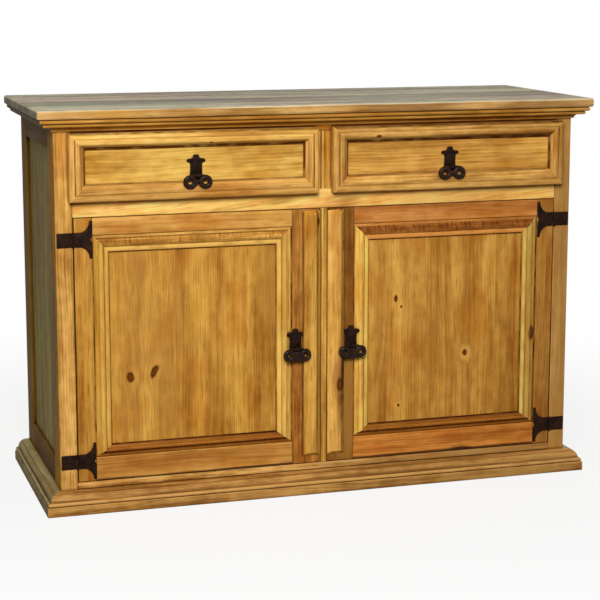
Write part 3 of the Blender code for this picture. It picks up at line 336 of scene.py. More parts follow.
# The posts' side faces, beyond the carcass's half width, are painted a darker brown: thinner wax and painted shade for
# the dim sides.
finish(pine("honey pine post", "#cd974c", seed=1, spread=1.5, shine=0.01, wiped_and_painted_light=("#ab7a1f", 9.0, SIDE, "#ffffff"),
            marks=((-0.553, 0.755, 0.014, 0.070, "#c77c30", 0.4), (0.562, 0.35, 0.04, 6.0, "#b08145", 0.7))), "post_front_left", "post_front_right")
# The back posts are a darker copy of the post wood, painted shade for the dim sides, and their wide occlusion reach
# paints shade into the reveal beside the side panel.
finish(pine("shaded pine post", "#7c5c23", face="X", face_at=SIDE, seed=2, wax_and_shade_reach=0.030, shine=0.01),
       "post_back_left", "post_back_right")


# Side frames: rails tenoned into the posts round a panel of upright boards, set back in a groove.
# The sides are a greyer, darker olive than the front: partly thinner wax, and partly painted shade and a
# painted grey sheen for the dimly lit sides.
finish(pine("greyed and shaded pine rail", "#6a4b1e", along="Y", face="X", face_at=SIDE, seed=3, spread=2.0, shine=0.01),
       "side_top_rail_left", "side_top_rail_right", "side_bottom_rail_left", "side_bottom_rail_right")
finish(pine("greyed and shaded pine panel", "#9e8b50", spread=1.6, face="X", face_at=SIDE - 0.008, board=0.09, seam=0.03,
            seed=4, each=0.35, patches=0.3, shine=0.01), "side_panel_left", "side_panel_right")


# Front rails and centre post: straight pale pine, the brightest wood on the cabinet. The mid rail runs
# unbroken from post to post, and only the nose of the centre post shows between the doors. The top rail is
# painted a darker orange with strong, wide occlusion shade: painted shade for the cornice's shadow on it.
finish(pine("pale pine mid rail", "#f9b963", along="X", seed=5, slant=0.10, wax_and_shade=0.35,
            marks=((0.6450, -0.0985, 0.007, 0.045, "#b98438", 0.7), (0.6266, 0.052, 0.014, 0.045, "#b57c3a", 0.7),
                   (0.6435, -0.2127, 0.003, 0.09, "#a8742c", 0.6), (0.600, 0.30, 0.02, 0.20, "#c8934a", 0.3))), "mid_rail")
finish(pine("pale pine top rail with painted shadow", "#bd751d", along="X", seed=6, wax_and_shade=1.0, wax_and_shade_reach=0.030), "front_top_rail")
finish(pine("pale pine centre post", "#ca9641", seed=7, spread=1.4,
            marks=((-0.0055, 0.33, 0.0020, 4.0, "#3a1f0a", 0.8),)), "centre_post")


# Inside boards: floor, dust panel, shelf, back and drawer boxes in bare pine, planed and never waxed,
# so they are paler and duller, and their corners get neither dark wax nor painted shade.
bare_level = pine("bare pine board", "#d6b07c", along="X", face="Z", face_at=0.348, wax_and_shade=0.0, patches=0.25,
                  roughness=0.66, shine=0.2, board=0.11, seed=8)
bare_upright = pine("bare pine back", "#cba572", face_at=0.2385, wax_and_shade=0.0, patches=0.25, roughness=0.68,
                    shine=0.2, board=0.095, seed=9)
finish(bare_level, "shelf", "dust_panel")
finish(bare_upright, "back_panel")
finish(pine("waxed pine floor edge", "#c8944f", along="X", face="Z", face_at=0.0603, seed=10, spread=2.4,
            marks=((-0.20, 0.36, 0.10, 0.42, "#8f6434", 0.6),)),
       "floor_panel")


# Plinth: three strips with a flat fascia, a small bead and a quarter round, mitred at the front corners
# and nailed round the foot of the carcass. Worn and a little duller than the doors.
PLINTH_OUT = 0.0333
PLINTH_PROJECTION = 0.033


def arc(centre, radii, from_degrees, to_degrees, steps=14):
    """Points on a circle or an ellipse about a centre."""
    turns = [math.radians(from_degrees + (to_degrees - from_degrees) * i / steps) for i in range(steps + 1)]
    return [(centre[0] + radii[0] * math.cos(t), centre[1] + radii[1] * math.sin(t)) for t in turns]


def moulding_tree():
    """Sweeps a section along each edge of a path. The path carries, at every point, the directions in which
    the section's breadth and height are laid off, so that mitred ends meet exactly."""
    tree = bpy.data.node_groups.new("moulding strips", "GeometryNodeTree")
    for label, kind in (("Path", "Geometry"), ("Section", "Object"), ("Level wood", "Material"),
                        ("Upright wood", "Material"), ("Sill wood", "Material")):
        tree.interface.new_socket(label, in_out="INPUT", socket_type="NodeSocket" + kind)
    tree.interface.new_socket("Strips", in_out="OUTPUT", socket_type="NodeSocketGeometry")
    given = put(tree, "NodeGroupInput").outputs
    here = put(tree, "GeometryNodeInputPosition").outputs[0]
    path = put(tree, "GeometryNodeStoreNamedAttribute", {0: given["Path"], "Name": "path_at", "Value": here},
               data_type="FLOAT_VECTOR", domain="POINT").outputs[0]
    path = put(tree, "GeometryNodeMeshToCurve", {0: path}).outputs[0]
    section = put(tree, "GeometryNodeObjectInfo", {"Object": given["Section"]}).outputs["Geometry"]
    section = put(tree, "GeometryNodeStoreNamedAttribute", {0: section, "Name": "section_at", "Value": here},
                  data_type="FLOAT_VECTOR", domain="POINT").outputs[0]
    section = put(tree, "GeometryNodeMeshToCurve", {0: section}).outputs[0]
    swept = put(tree, "GeometryNodeCurveToMesh", {"Curve": path, "Profile Curve": section, "Fill Caps": True}).outputs[0]
    laid = {}
    for label in ("path_at", "section_at", "across", "rise"):
        laid[label] = put(tree, "GeometryNodeInputNamedAttribute", {"Name": label},
                          data_type="FLOAT_VECTOR").outputs["Attribute"]
    breadth = put(tree, "ShaderNodeSeparateXYZ", {0: laid["section_at"]}).outputs
    place = put(tree, "ShaderNodeVectorMath", {0: laid["across"], "Scale": breadth[0]}, operation="SCALE").outputs[0]
    place = put(tree, "ShaderNodeVectorMath", {0: laid["path_at"], 1: place}, operation="ADD").outputs[0]
    height = put(tree, "ShaderNodeVectorMath", {0: laid["rise"], "Scale": breadth[1]}, operation="SCALE").outputs[0]
    place = put(tree, "ShaderNodeVectorMath", {0: place, 1: height}, operation="ADD").outputs[0]
    swept = put(tree, "GeometryNodeSetPosition", {"Geometry": swept, "Position": place}).outputs[0]
    upright = put(tree, "GeometryNodeInputNamedAttribute", {"Name": "upright"}, data_type="BOOLEAN").outputs["Attribute"]
    swept = put(tree, "GeometryNodeRealizeInstances", {0: swept}).outputs[0]
    swept = put(tree, "GeometryNodeSetMaterial", {0: swept, "Material": given["Level wood"]}).outputs[0]
    swept = put(tree, "GeometryNodeSetMaterial",
                {0: swept, "Selection": upright, "Material": given["Upright wood"]}).outputs[0]
    sill = put(tree, "GeometryNodeInputNamedAttribute", {"Name": "sill"}, data_type="BOOLEAN").outputs["Attribute"]
    swept = put(tree, "GeometryNodeSetMaterial",
                {0: swept, "Selection": sill, "Material": given["Sill wood"]}).outputs[0]
    put(tree, "NodeGroupOutput", {0: swept})
    return tree


moulding_strips = moulding_tree()


def outline_mesh(name, points):
    """A closed ring of edges in a plane, for a section."""
    mesh = bpy.data.meshes.new(name)
    mesh.from_pydata([(x, y, 0.0) for x, y in points], [(i, (i + 1) % len(points)) for i in range(len(points))], [])
    return mesh


def plain_piece(name, mesh):
    piece = bpy.data.objects.new(name, mesh)
    bpy.context.scene.collection.objects.link(piece)
    return piece


def run_tree(base, tree, settings):
    """Puts a geometry node tree on an object, gives it its inputs and takes the result as a plain mesh."""
    step = base.modifiers.new(tree.name, "NODES")
    step.node_group = tree
    for item in tree.interface.items_tree:
        if item.in_out == "INPUT" and item.name in settings:
            step[item.identifier] = settings[item.name]
    bpy.context.view_layer.update()
    graph = bpy.context.evaluated_depsgraph_get()
    mesh = bpy.data.meshes.new_from_object(base.evaluated_get(graph), preserve_all_data_layers=True, depsgraph=graph)
    bpy.data.objects.remove(base, do_unlink=True)
    return mesh


def outwards(mesh):
    """Turns every face of closed shells outwards and shades the flowing ones smooth."""
    shape = bmesh.new()
    shape.from_mesh(mesh)
    bmesh.ops.recalc_face_normals(shape, faces=shape.faces)
    shape.to_mesh(mesh)
    shape.free()
    mesh.shade_smooth()
    mesh.set_sharp_from_angle(angle=math.radians(32))
    return mesh


def strips(name, section, runs, level, upright, sill, body, slot, *stands_for):
    """Strips of moulding. Each run is two ends, (point, across, rise), and whether it lies level, stands
    upright or is the sill, each of which has its own wood."""
    base = bpy.data.meshes.new(name)
    ends = [end for run in runs for end in run[:2]]
    base.from_pydata([end[0] for end in ends], [(2 * i, 2 * i + 1) for i in range(len(runs))], [])
    for label, column in (("across", 1), ("rise", 2)):
        held = base.attributes.new(label, "FLOAT_VECTOR", "POINT")
        held.data.foreach_set("vector", np.array([end[column] for end in ends], np.float32).ravel())
    for label in ("upright", "sill"):
        held = base.attributes.new(label, "BOOLEAN", "POINT")
        held.data.foreach_set("value", [run[2] == label for run in runs for _ in range(2)])
    profile = plain_piece(name + "_section", outline_mesh(name + "_section", section))
    mesh = run_tree(plain_piece(name + "_path", base), moulding_strips,
                    {"Section": profile, "Level wood": level, "Upright wood": upright, "Sill wood": sill})
    bpy.data.objects.remove(profile, do_unlink=True)
    piece = plain_piece(name, outwards(mesh))
    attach(piece, body)
    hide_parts(*stands_for)
    return piece


plinth_section = [(-0.0025, 0.0), (0.0325, 0.0), (PLINTH_PROJECTION, 0.0006), (PLINTH_PROJECTION, 0.0188), (0.0318, 0.020)]
plinth_section += arc((0.027, 0.024), (0.004, 0.004), -80, 80)
plinth_section += arc((0.007, 0.028), (0.018, 0.018), 0, 90) + [(-0.0025, 0.046)]
UP = (0, 0, 1)
edge_x, edge_y, back_y = SIDE + 0.0003, FRONT - 0.0003, 0.2385
mitre = 0.00015
# Dark lines between the beads are dark wax and painted shade, and pale lines on the crests are wear and painted
# highlights.
PLINTH_WAX_AND_SHADE_LINES = ((0.0256, 0.0014, 0.55), (0.0170, 0.0014, 0.50))
PLINTH_WEAR_AND_HIGHLIGHT_LINES = ((0.0297, 0.0030, 0.95), (0.0215, 0.0022, 0.35), (0.0080, 0.0040, 0.2))
plinth_wood = pine("worn pine plinth", "#b17e3f", along="X", seed=11, spread=2.1, wax_and_shade_lines=PLINTH_WAX_AND_SHADE_LINES,
                   wear_and_highlight_lines=PLINTH_WEAR_AND_HIGHLIGHT_LINES, marks=((0.023, 0.32, 0.20, 0.34, "#8f6530", 0.4),))
# The plinth's sides are a greyer, darker wood: painted shade and a painted grey sheen for the dim sides.
plinth_side_wood = pine("greyed and shaded pine plinth", "#8f7c50", spread=2.0, along="Y", face="X", face_at=SIDE + 0.03, seed=12,
                        shine=0.01, wax_and_shade_lines=PLINTH_WAX_AND_SHADE_LINES, wear_and_highlight_lines=PLINTH_WEAR_AND_HIGHLIGHT_LINES)
strips("plinth_front_strip", plinth_section,
       [(((-edge_x + mitre, edge_y, 0), (-1, -1, 0), UP), ((edge_x - mitre, edge_y, 0), (1, -1, 0), UP), "level")],
       plinth_wood, plinth_wood, plinth_wood, "carcass", "honey_pine", "plinth_front")
for side_name, side in (("left", -1), ("right", 1)):
    strips(f"plinth_{side_name}_strip", plinth_section,
           [(((side * edge_x, edge_y + mitre, 0), (side, -1, 0), UP), ((side * edge_x, back_y, 0), (side, 0, 0), UP), "level")],
           plinth_side_wood, plinth_side_wood, plinth_side_wood, "carcass", "honey_pine", f"plinth_{side_name}")


# Cornice: two beads over a cove, run round the left, front and right under the top board and mitred.
# The cove lies in shadow, so only the beads catch the light.
CARCASS_TOP = 0.8207
cornice_section = [(0.0, 0.0)]
cornice_section += arc((0.026, -0.0045), (0.0045, 0.0045), 90, -78)
cornice_section += arc((0.0195, -0.0128), (0.0038, 0.0038), 78, -80)
cornice_section += arc((0.013, -0.0256), (0.009, 0.009), 90, 180) + [(0.0, -0.0256)]
cornice_wood = pine("honey pine cornice", "#bb8536", along="X", seed=13, wax_and_shade=0.35)
# The cornice's sides are a greyer, darker wood: painted shade and a painted grey sheen for the dim sides.
cornice_side_wood = pine("greyed and shaded pine cornice", "#6f5f3a", along="Y", face="X", face_at=SIDE + 0.03, seed=14, shine=0.01)
strips("cornice_strips", cornice_section,
       [(((-edge_x + mitre, edge_y, CARCASS_TOP), (-1, -1, 0), UP), ((edge_x - mitre, edge_y, CARCASS_TOP), (1, -1, 0), UP), "level"),
        (((-edge_x, edge_y + mitre, CARCASS_TOP), (-1, -1, 0), UP), ((-edge_x, back_y, CARCASS_TOP), (-1, 0, 0), UP), "upright"),
        (((edge_x, edge_y + mitre, CARCASS_TOP), (1, -1, 0), UP), ((edge_x, back_y, CARCASS_TOP), (1, 0, 0), UP), "upright")],
       cornice_wood, cornice_side_wood, cornice_wood, "carcass", "honey_pine", "cornice")


# Top board: glued up from pine boards along its length, with a rounded edge. Years of wiping have taken
# the honey colour off its upper face, and its grey-brown is partly a painted sheen of the white surround;
# it is more polished than the rest. Its end faces are painted darker for their shade, and the rounded
# arris has a pale line of wear and painted highlight.
finish(pine("wiped pine top", "#c09254", along="X", face="Z", face_at=0.840, board=0.1215, seed=52, wax_and_shade=0.0,
            each=0.45, roughness=0.50, shine=0.012, spread=1.1, wiped_and_painted_light=("#b0a791", 0.8385, 0.6095, "#c9cdbe"),
            marks=((-0.2385, 0.18, 0.03, 0.16, "#7d4f20", 0.7), (-0.2385, -0.18, 0.03, 0.08, "#80521f", 0.5),
                   (-0.2385, 0.48, 0.03, 0.14, "#8a5c2c", 0.6), (-0.2385, -0.46, 0.03, 0.10, "#c9923f", 0.6))), "top_panel")


# Door frames: stiles and rails tenoned together. The left door is even honey pine with a redder meeting
# stile. The right one has reddish rails and a dark meeting stile, cut from another plank.
# The near-black lines along the outer edges of the hinge stiles and at the foot of the bottom rails, with the black
# spot on the right one, are painted shade in the gaps beside the posts and over the floor edge.
left_stile = pine("honey pine stile", "#c28939", seed=16, marks=((-0.5355, 0.33, 0.0018, 4.0, "#1e0e06", 0.9),))
left_rail = pine("honey pine door rail", "#cb9145", along="X", seed=17,
                 marks=((0.088, -0.26, 0.028, 4.0, "#d48d42", 0.2), (0.0612, -0.25, 0.0050, 4.0, "#2c1508", 0.95)))
left_meeting = pine("red-brown pine stile", "#b37835", seed=18, spread=1.5)
right_stile = pine("brown pine stile", "#a87130", seed=19, marks=((0.5352, 0.20, 0.0022, 0.3, "#1e0e06", 0.8),))
right_rail = pine("reddish pine top rail", "#c68240", along="X", seed=20)
right_low_rail = pine("reddish pine bottom rail", "#cf8338", along="X", seed=47,
                      marks=((0.0612, 0.25, 0.0060, 4.0, "#2c1508", 0.9), (0.0640, 0.320, 0.0070, 0.036, "#2c1508", 0.9)))
right_meeting = pine("dark red-brown pine stile", "#7b4c18", seed=21, spread=1.6,
                     marks=((0.058, 0.17, 0.05, 0.17, "#b07c36", 0.8),))
finish(left_stile, "door_left_hinge_stile")
finish(left_rail, "door_left_top_rail", "door_left_bottom_rail")
finish(left_meeting, "door_left_free_stile")
finish(right_stile, "door_right_hinge_stile")
finish(right_rail, "door_right_top_rail")
finish(right_low_rail, "door_right_bottom_rail")
finish(right_meeting, "door_right_free_stile")


# Door panels: wide panels of two or three glued boards, grain upright, loose in the frame's grooves.
# A few tight knots stand where the real ones do.
# A wide occlusion reach darkens a band of the panels along the mouldings: dark wax and painted shade.
finish(pine("knotty pine left panel", "#c78e3a", wax_and_shade_reach=0.022, face_at=-0.1945, board=0.155, seam=-0.3225, seed=22,
            knots=((-0.4188, 0.2766, 0.0080, 0.0102, -0.15, 0.1), (-0.3675, 0.2875, 0.0082, 0.0150, 0.42, 0.1)),
            each=0.05, marks=((-0.413, 0.517, 0.035, 0.050, "#a0652a", 0.35), (-0.385, 0.33, 0.10, 0.26, "#d8a250", 0.25),
                              (-0.118, 0.47, 0.030, 0.14, "#d49c47", 0.35))), "door_left_panel")
finish(pine("knotty pine right panel", "#c38b3b", wax_and_shade_reach=0.022, face_at=-0.1945, board=0.155, seam=0.2474, seed=23,
            knots=((0.1674, 0.4114, 0.0045, 0.0090, 0.0, 0.15), (0.1804, 0.3931, 0.003, 0.004, 0.0, 0.1),
                   (0.3322, 0.2812, 0.0075, 0.0090, 0.0, 0.6), (0.1762, 0.1726, 0.003, 0.0035, 0.0, 0.1)),
            each=0.05, marks=((0.2545, 0.305, 0.035, 0.070, "#a46a28", 0.4),)), "door_right_panel")


# Door mouldings: mitred strips that cover the joint of panel and frame, with a cove, a bead and a quarter
# round. The cutter tore the grain of the level strips, and the wax lies dark in the tears.
door_section = [(0.0, 0.0)]
door_section += arc((0.0, 0.0057), (0.0105, 0.0027), -90, -10, 10)
door_section += arc((0.0165, 0.0045), (0.006, 0.006), 160, 8)
door_section += arc((0.0225, 0.0), (0.011, 0.0062), 88, 0, 10)
# Dark lines along the door mouldings are dark wax and painted shade, chiefly the shade of the cove under the frame's
# edge and of the quarter round's foot on the panel. The pale lines are wear and painted highlights; the strongest
# lightens the quarter round of the level strips, which faces down.
UPRIGHT_WAX_AND_SHADE_LINES = ((0.0008, 0.0026, 0.85), (0.0210, 0.0012, 0.15), (0.0332, 0.0020, 0.75))
LEVEL_WAX_AND_SHADE_LINES = ((0.0070, 0.0016, 0.6), (0.0332, 0.0026, 1.0))
SILL_WAX_AND_SHADE_LINES = ((0.0004, 0.0016, 0.4), (0.0118, 0.0030, 0.9), (0.0328, 0.0030, 1.0))
UPRIGHT_WEAR_AND_HIGHLIGHT_LINES = ((0.0135, 0.0030, 0.2), (0.0275, 0.0035, 0.4))
LEVEL_WEAR_AND_HIGHLIGHT_LINES = ((0.0030, 0.0030, 0.35), (0.0265, 0.0055, 1.0))
SILL_WEAR_AND_HIGHLIGHT_LINES = ((0.0050, 0.0030, 0.3), (0.0230, 0.0045, 0.5))
PANEL_FACE = -0.1948
OUT = (0, -1, 0)


def frame_runs(x_low, x_high, z_low, z_high, face, stile=1.0, sill=1.0, rail=1.0):
    """The four mitred sides of a rectangle in the front, each wider or narrower than the section by its share."""
    corners = {(sx, sz): ((x_low if sx > 0 else x_high, face, z_low if sz > 0 else z_high),
                          (sx * stile, 0, sill if sz > 0 else -rail), OUT)
               for sx in (1, -1) for sz in (1, -1)}
    runs = []
    for one, other, lies in (((1, 1), (-1, 1), "sill"), ((-1, 1), (-1, -1), "upright"),
                             ((-1, -1), (1, -1), "level"), ((1, -1), (1, 1), "upright")):
        runs.append((corners[one], corners[other], lies))
    return runs


for side_name, side in (("left", -1), ("right", 1)):
    upright = pine(f"{side_name} door moulding stile pine", "#d6a34b" if side < 0 else "#f2b957", face_at=-0.205,
                   seed=24 + side, knots=((0.4880, 0.317, 0.0075, 0.0150, 0.0, 0.0),) if side > 0 else (), wax_and_shade_lines=UPRIGHT_WAX_AND_SHADE_LINES, wear_and_highlight_lines=UPRIGHT_WEAR_AND_HIGHLIGHT_LINES,
                   marks=((0.482, 0.35, 0.06, 2.0, "#8e6028", 0.55) if side > 0 else
                          (-0.482, 0.35, 0.06, 2.0, "#b27e1f", 0.35),))
    # On the right door a wide dark line over the level strips' cove and bead is dark wax and the painted shade of the
    # rail above.
    level = pine(f"{side_name} door moulding rail pine", "#d29d48" if side < 0 else "#c67f37", along="X",
                 face_at=-0.205, wax_and_shade=0.5, spread=1.5, seed=26 + side, chatter=0.7 if side < 0 else 1.0,
                 wax_and_shade_lines=LEVEL_WAX_AND_SHADE_LINES + (() if side < 0 else ((0.0120, 0.0090, 0.60),)),
                 wear_and_highlight_lines=LEVEL_WEAR_AND_HIGHLIGHT_LINES)
    sill = pine(f"{side_name} door sill moulding pine", "#9b5e1f" if side < 0 else "#92581b", along="X", face_at=-0.205,
                seed=44 + side, chatter=0.6, wax_and_shade_lines=SILL_WAX_AND_SHADE_LINES, wear_and_highlight_lines=SILL_WEAR_AND_HIGHLIGHT_LINES)
    x_low, x_high = sorted((side * 0.0693, side * 0.4972))
    strips(f"door_{side_name}_moulding_strips", door_section, frame_runs(x_low, x_high, 0.1121, 0.5805, PANEL_FACE, stile=1.06, sill=0.77, rail=1.12),
           level, upright, sill, f"door_{side_name}", "honey_pine", f"door_{side_name}_moulding")


# Battens: rounded strips nailed on the faces of the meeting stiles, with their ends sloped off. The right
# one has a big red-brown knot below the pull.
BATTEN_HALF, BATTEN_THICK, FLANK_DROP = 0.0185, 0.010, 0.0072
batten_section = [(-BATTEN_HALF, 0.0)]
for i in range(-20, 21):
    reach = i / 20
    down_flank = max(0.0, (abs(reach) - 0.42) / 0.58) ** 1.4
    batten_section.append((BATTEN_HALF * reach, BATTEN_THICK - FLANK_DROP * down_flank))
batten_section.append((BATTEN_HALF, 0.0))
END_SLOPE = 0.8
for side_name, side in (("left", -1), ("right", 1)):
    # The dark lines at the battens' feet are dark wax and painted shade, and those on their right flanks, which face
    # away from the lamp, painted shade.
    wood = pine(f"{side_name} batten pine", "#d09a44" if side < 0 else "#d49a48", face_at=-0.2118, seed=28 + side,
                wax_and_shade_lines=((-0.0185, 0.0020, 0.6), (0.0125, 0.0034, 0.6)) if side < 0 else ((0.0140, 0.0045, 0.6), (0.0183, 0.0020, 0.7)),
                knots=((0.036, 0.2326, 0.0085, 0.0135, 0.0, 0.0),) if side > 0 else (),
                marks=((0.032, 0.256, 0.020, 0.055, "#b06c38", 0.65), (0.0440, 0.258, 0.006, 0.036, "#3c1c0a", 0.95),
                       (0.0372, 0.199, 0.008, 0.014, "#6e5226", 0.8), (0.0365, 0.195, 0.011, 0.075, "#8a5a26", 0.6)) if side > 0 else
                ((-0.0126, 0.5897, 0.005, 0.013, "#4a2a10", 0.9),))
    run = (((side * 0.0275, FRONT - 0.0003, 0.0778), (1, 0, 0), (0, -1, END_SLOPE)),
           ((side * 0.0275, FRONT - 0.0003, 0.6128), (1, 0, 0), (0, -1, -END_SLOPE)), "upright")
    strips(f"door_{side_name}_batten_strip", batten_section, [run], wood, wood, wood, f"door_{side_name}", "pale_pine",
           f"door_{side_name}_batten")


# Drawers: a lapping front board with a mitred moulding, rounded border, groove, bead and slope, on a
# bare pine box. The left drawer is the paler of the two.
drawer_section = [(0.0, 0.0)]
drawer_section += arc((0.010, 0.004), (0.010, 0.006), 180, 92)
drawer_section += [(0.010, 0.0088), (0.0104, 0.0086), (0.0116, 0.0086), (0.0120, 0.0088)]
drawer_section += arc((0.017, 0.00875), (0.005, 0.0025), 175, 5)
drawer_section += [(0.031, 0.002), (0.031, 0.0)]
# Dark lines along the drawer mouldings are dark wax and painted shade. On the top strips the wide one at the outer edge
# paints the cornice's shadow, and the one on the inner slope the shade of that down-facing slope.
DRAWER_WAX_AND_SHADE_LINES = {"upright": ((0.0110, 0.0014, 0.75), (0.0222, 0.0012, 0.2), (0.0300, 0.0030, 1.0)),
                  "level": ((0.0, 0.0045, 0.8), (0.0110, 0.0012, 0.15), (0.0288, 0.0050, 0.95)),
                  "sill": ((0.0110, 0.0012, 0.2), (0.0303, 0.0026, 0.6))}
DRAWER_FACE = -0.2160
for side_name, side in (("left", -1), ("right", 1)):
    if side < 0:
        tones = ("#ddad52", "#e0ab55", "#d69e50", "#c28d44")
    else:
        tones = ("#cb9342", "#c8954c", "#d49f52", "#cb964b")
    front_board = pine(f"{side_name} drawer front pine", tones[0], along="X", face_at=DRAWER_FACE, seed=30 + side)
    level = pine(f"{side_name} drawer moulding rail pine", tones[1], along="X", face_at=-0.226, seed=32 + side, wax_and_shade=0.45,
                 spread=1.0 if side < 0 else 1.5,
                 wax_and_shade_lines=DRAWER_WAX_AND_SHADE_LINES["level"],
                 knots=((0.7694, 0.1158, 0.0035, 0.007, 0.0, 0.1),) if side > 0 else ((0.7663, -0.2497, 0.002, 0.005, 0.0, 0.0),))
    upright = pine(f"{side_name} drawer moulding stile pine", tones[2], face_at=-0.226, seed=34 + side,
                   wax_and_shade_lines=DRAWER_WAX_AND_SHADE_LINES["upright"])
    sill = pine(f"{side_name} drawer sill moulding pine", tones[3], along="X", face_at=-0.226, seed=36 + side, wax_and_shade=0.45,
                spread=1.2 if side < 0 else 1.5,
                wax_and_shade_lines=DRAWER_WAX_AND_SHADE_LINES["sill"])
    finish(front_board, f"drawer_{side_name}_front")
    x_low, x_high = sorted((side * 0.0165, side * 0.545))
    strips(f"drawer_{side_name}_moulding_strips", drawer_section,
           frame_runs(x_low, x_high, 0.6513, 0.7907, DRAWER_FACE - 0.0003, stile=1.06, sill=1.19, rail=1.08),
           level, upright, sill, f"drawer_{side_name}", "honey_pine", f"drawer_{side_name}_moulding")
    finish(bare_level, f"drawer_{side_name}_bottom", f"drawer_{side_name}_box")


# Hinges: surface hinges cut from sheet iron, a plain leaf on the post and a fishtail leaf on the door,
# rolled round a pin. Hammered, blackened in oil and rubbed brown in patches.
def forged_iron(name, rough_low, rough_high, shine):
    made = bpy.data.materials.new(name)
    made.use_nodes = True
    tree = made.node_tree
    tree.nodes.clear()
    place = put(tree, "ShaderNodeTexCoord").outputs["Object"]
    dents = put(tree, "ShaderNodeTexVoronoi", {"Vector": place, "Scale": 1 / 0.0065}, feature="SMOOTH_F1").outputs[0]
    scale = put(tree, "ShaderNodeTexNoise", {"Vector": place, "Scale": 1 / 0.0022, "Detail": 3.0}).outputs[0]
    patches = put(tree, "ShaderNodeTexNoise", {"Vector": place, "Scale": 1 / 0.016, "Detail": 3.0}).outputs[0]
    rubbed = put(tree, "ShaderNodeMapRange", {0: patches, 1: 0.40, 2: 0.68, 3: 0.0, 4: 1.0}).outputs[0]
    colour = put(tree, "ShaderNodeMix", {0: rubbed, 6: linear("#1a100b"), 7: linear("#321c10")}, data_type="RGBA").outputs[2]
    relief = put(tree, "ShaderNodeMath", {0: scale, 1: 0.25, 2: dents}, operation="MULTIPLY_ADD").outputs[0]
    bump = put(tree, "ShaderNodeBump", {"Strength": 0.6, "Distance": 0.0008, "Height": relief}).outputs[0]
    rough = put(tree, "ShaderNodeMapRange", {0: scale, 1: 0.3, 2: 0.7, 3: rough_low, 4: rough_high}).outputs[0]
    shader = put(tree, "ShaderNodeBsdfPrincipled", {"Base Color": colour, "Metallic": 0.25, "Roughness": rough,
                                                    "Specular IOR Level": shine, "Normal": bump})
    put(tree, "ShaderNodeOutputMaterial", {0: shader.outputs[0]})
    return made


iron = forged_iron("blackened wrought iron", 0.42, 0.66, 0.07)
HINGE_X, HINGE_Y = 0.53625, -0.2048
HINGE_HEIGHTS = {"upper": 0.5723, "lower": 0.1053}
LEAF_BACK = FRONT - 0.0003
LEAF_THICKNESS = 0.002
chisel = np.random.default_rng(7)


def hand_cut(outline, closest=0.0035, slip=0.00022):
    """An outline with its long edges broken up and moved a little, as a chisel leaves them."""
    points = []
    for (x0, z0), (x1, z1) in zip(outline, outline[1:] + outline[:1]):
        pieces = max(1, int(math.hypot(x1 - x0, z1 - z0) / closest))
        for i in range(pieces):
            t = i / pieces
            dx, dz = chisel.uniform(-slip, slip, 2) if i else (0.0, 0.0)
            points.append((x0 + (x1 - x0) * t + dx, z0 + (z1 - z0) * t + dz))
    return points


def sheet_iron(shape, outline, back, thickness, soften=0.0006):
    """Adds a plate to a bmesh, with its outer edges hammered round."""
    face = shape.faces.new([shape.verts.new((x, back, z)) for x, z in outline])
    pushed = bmesh.ops.extrude_face_region(shape, geom=[face])["geom"]
    bmesh.ops.translate(shape, vec=(0, -thickness, 0), verts=[v for v in pushed if isinstance(v, bmesh.types.BMVert)])
    front = [f for f in pushed if isinstance(f, bmesh.types.BMFace)][0]
    bmesh.ops.bevel(shape, geom=list(front.edges), offset=soften, segments=2, profile=0.6, affect="EDGES")


def round_bar(shape, path, radius, closed=False, sides=12):
    """Adds a round bar along points in a plane or a line to a bmesh."""
    points = [Vector(p) for p in path]
    count = len(points)
    normal = (points[1] - points[0]).cross(points[count // 2] - points[0])
    normal = normal.normalized() if normal.length > 1e-9 else Vector((0, 1, 0))
    rings = []
    for i, point in enumerate(points):
        after = points[(i + 1) % count] if closed or i + 1 < count else point
        before = points[i - 1] if closed or i else point
        heading = (after - before).normalized()
        aside = heading.cross(normal).normalized()
        rings.append([shape.verts.new(point + radius * (aside * math.cos(2 * math.pi * j / sides)
                                                        + normal * math.sin(2 * math.pi * j / sides)))
                      for j in range(sides)])
    for one, other in zip(rings, rings[1:] + (rings[:1] if closed else [])):
        for j in range(sides):
            shape.faces.new((one[j], one[(j + 1) % sides], other[(j + 1) % sides], other[j]))
    if not closed:
        shape.faces.new(rings[0])
        shape.faces.new(rings[-1])


def iron_piece(name, shape, metal, body, *stands_for):
    mesh = bpy.data.meshes.new(name)
    shape.to_mesh(mesh)
    shape.free()
    mesh.materials.append(metal)
    piece = plain_piece(name, outwards(mesh))
    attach(piece, body)
    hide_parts(*stands_for)


def knuckle(shape, x, low, high):
    """A length of rolled barrel with its ends hammered round."""
    soft = 0.0006
    rounds = ((low, 0.0024), (low + soft, 0.003), (high - soft, 0.003), (high, 0.0024))
    rings = [[shape.verts.new((x + r * math.cos(2 * math.pi * j / 20), HINGE_Y + r * math.sin(2 * math.pi * j / 20), z))
              for j in range(20)] for z, r in rounds]
    for one, other in zip(rings, rings[1:]):
        for j in range(20):
            shape.faces.new((one[j], one[(j + 1) % 20], other[(j + 1) % 20], other[j]))
    shape.faces.new(rings[0])
    shape.faces.new(rings[-1])


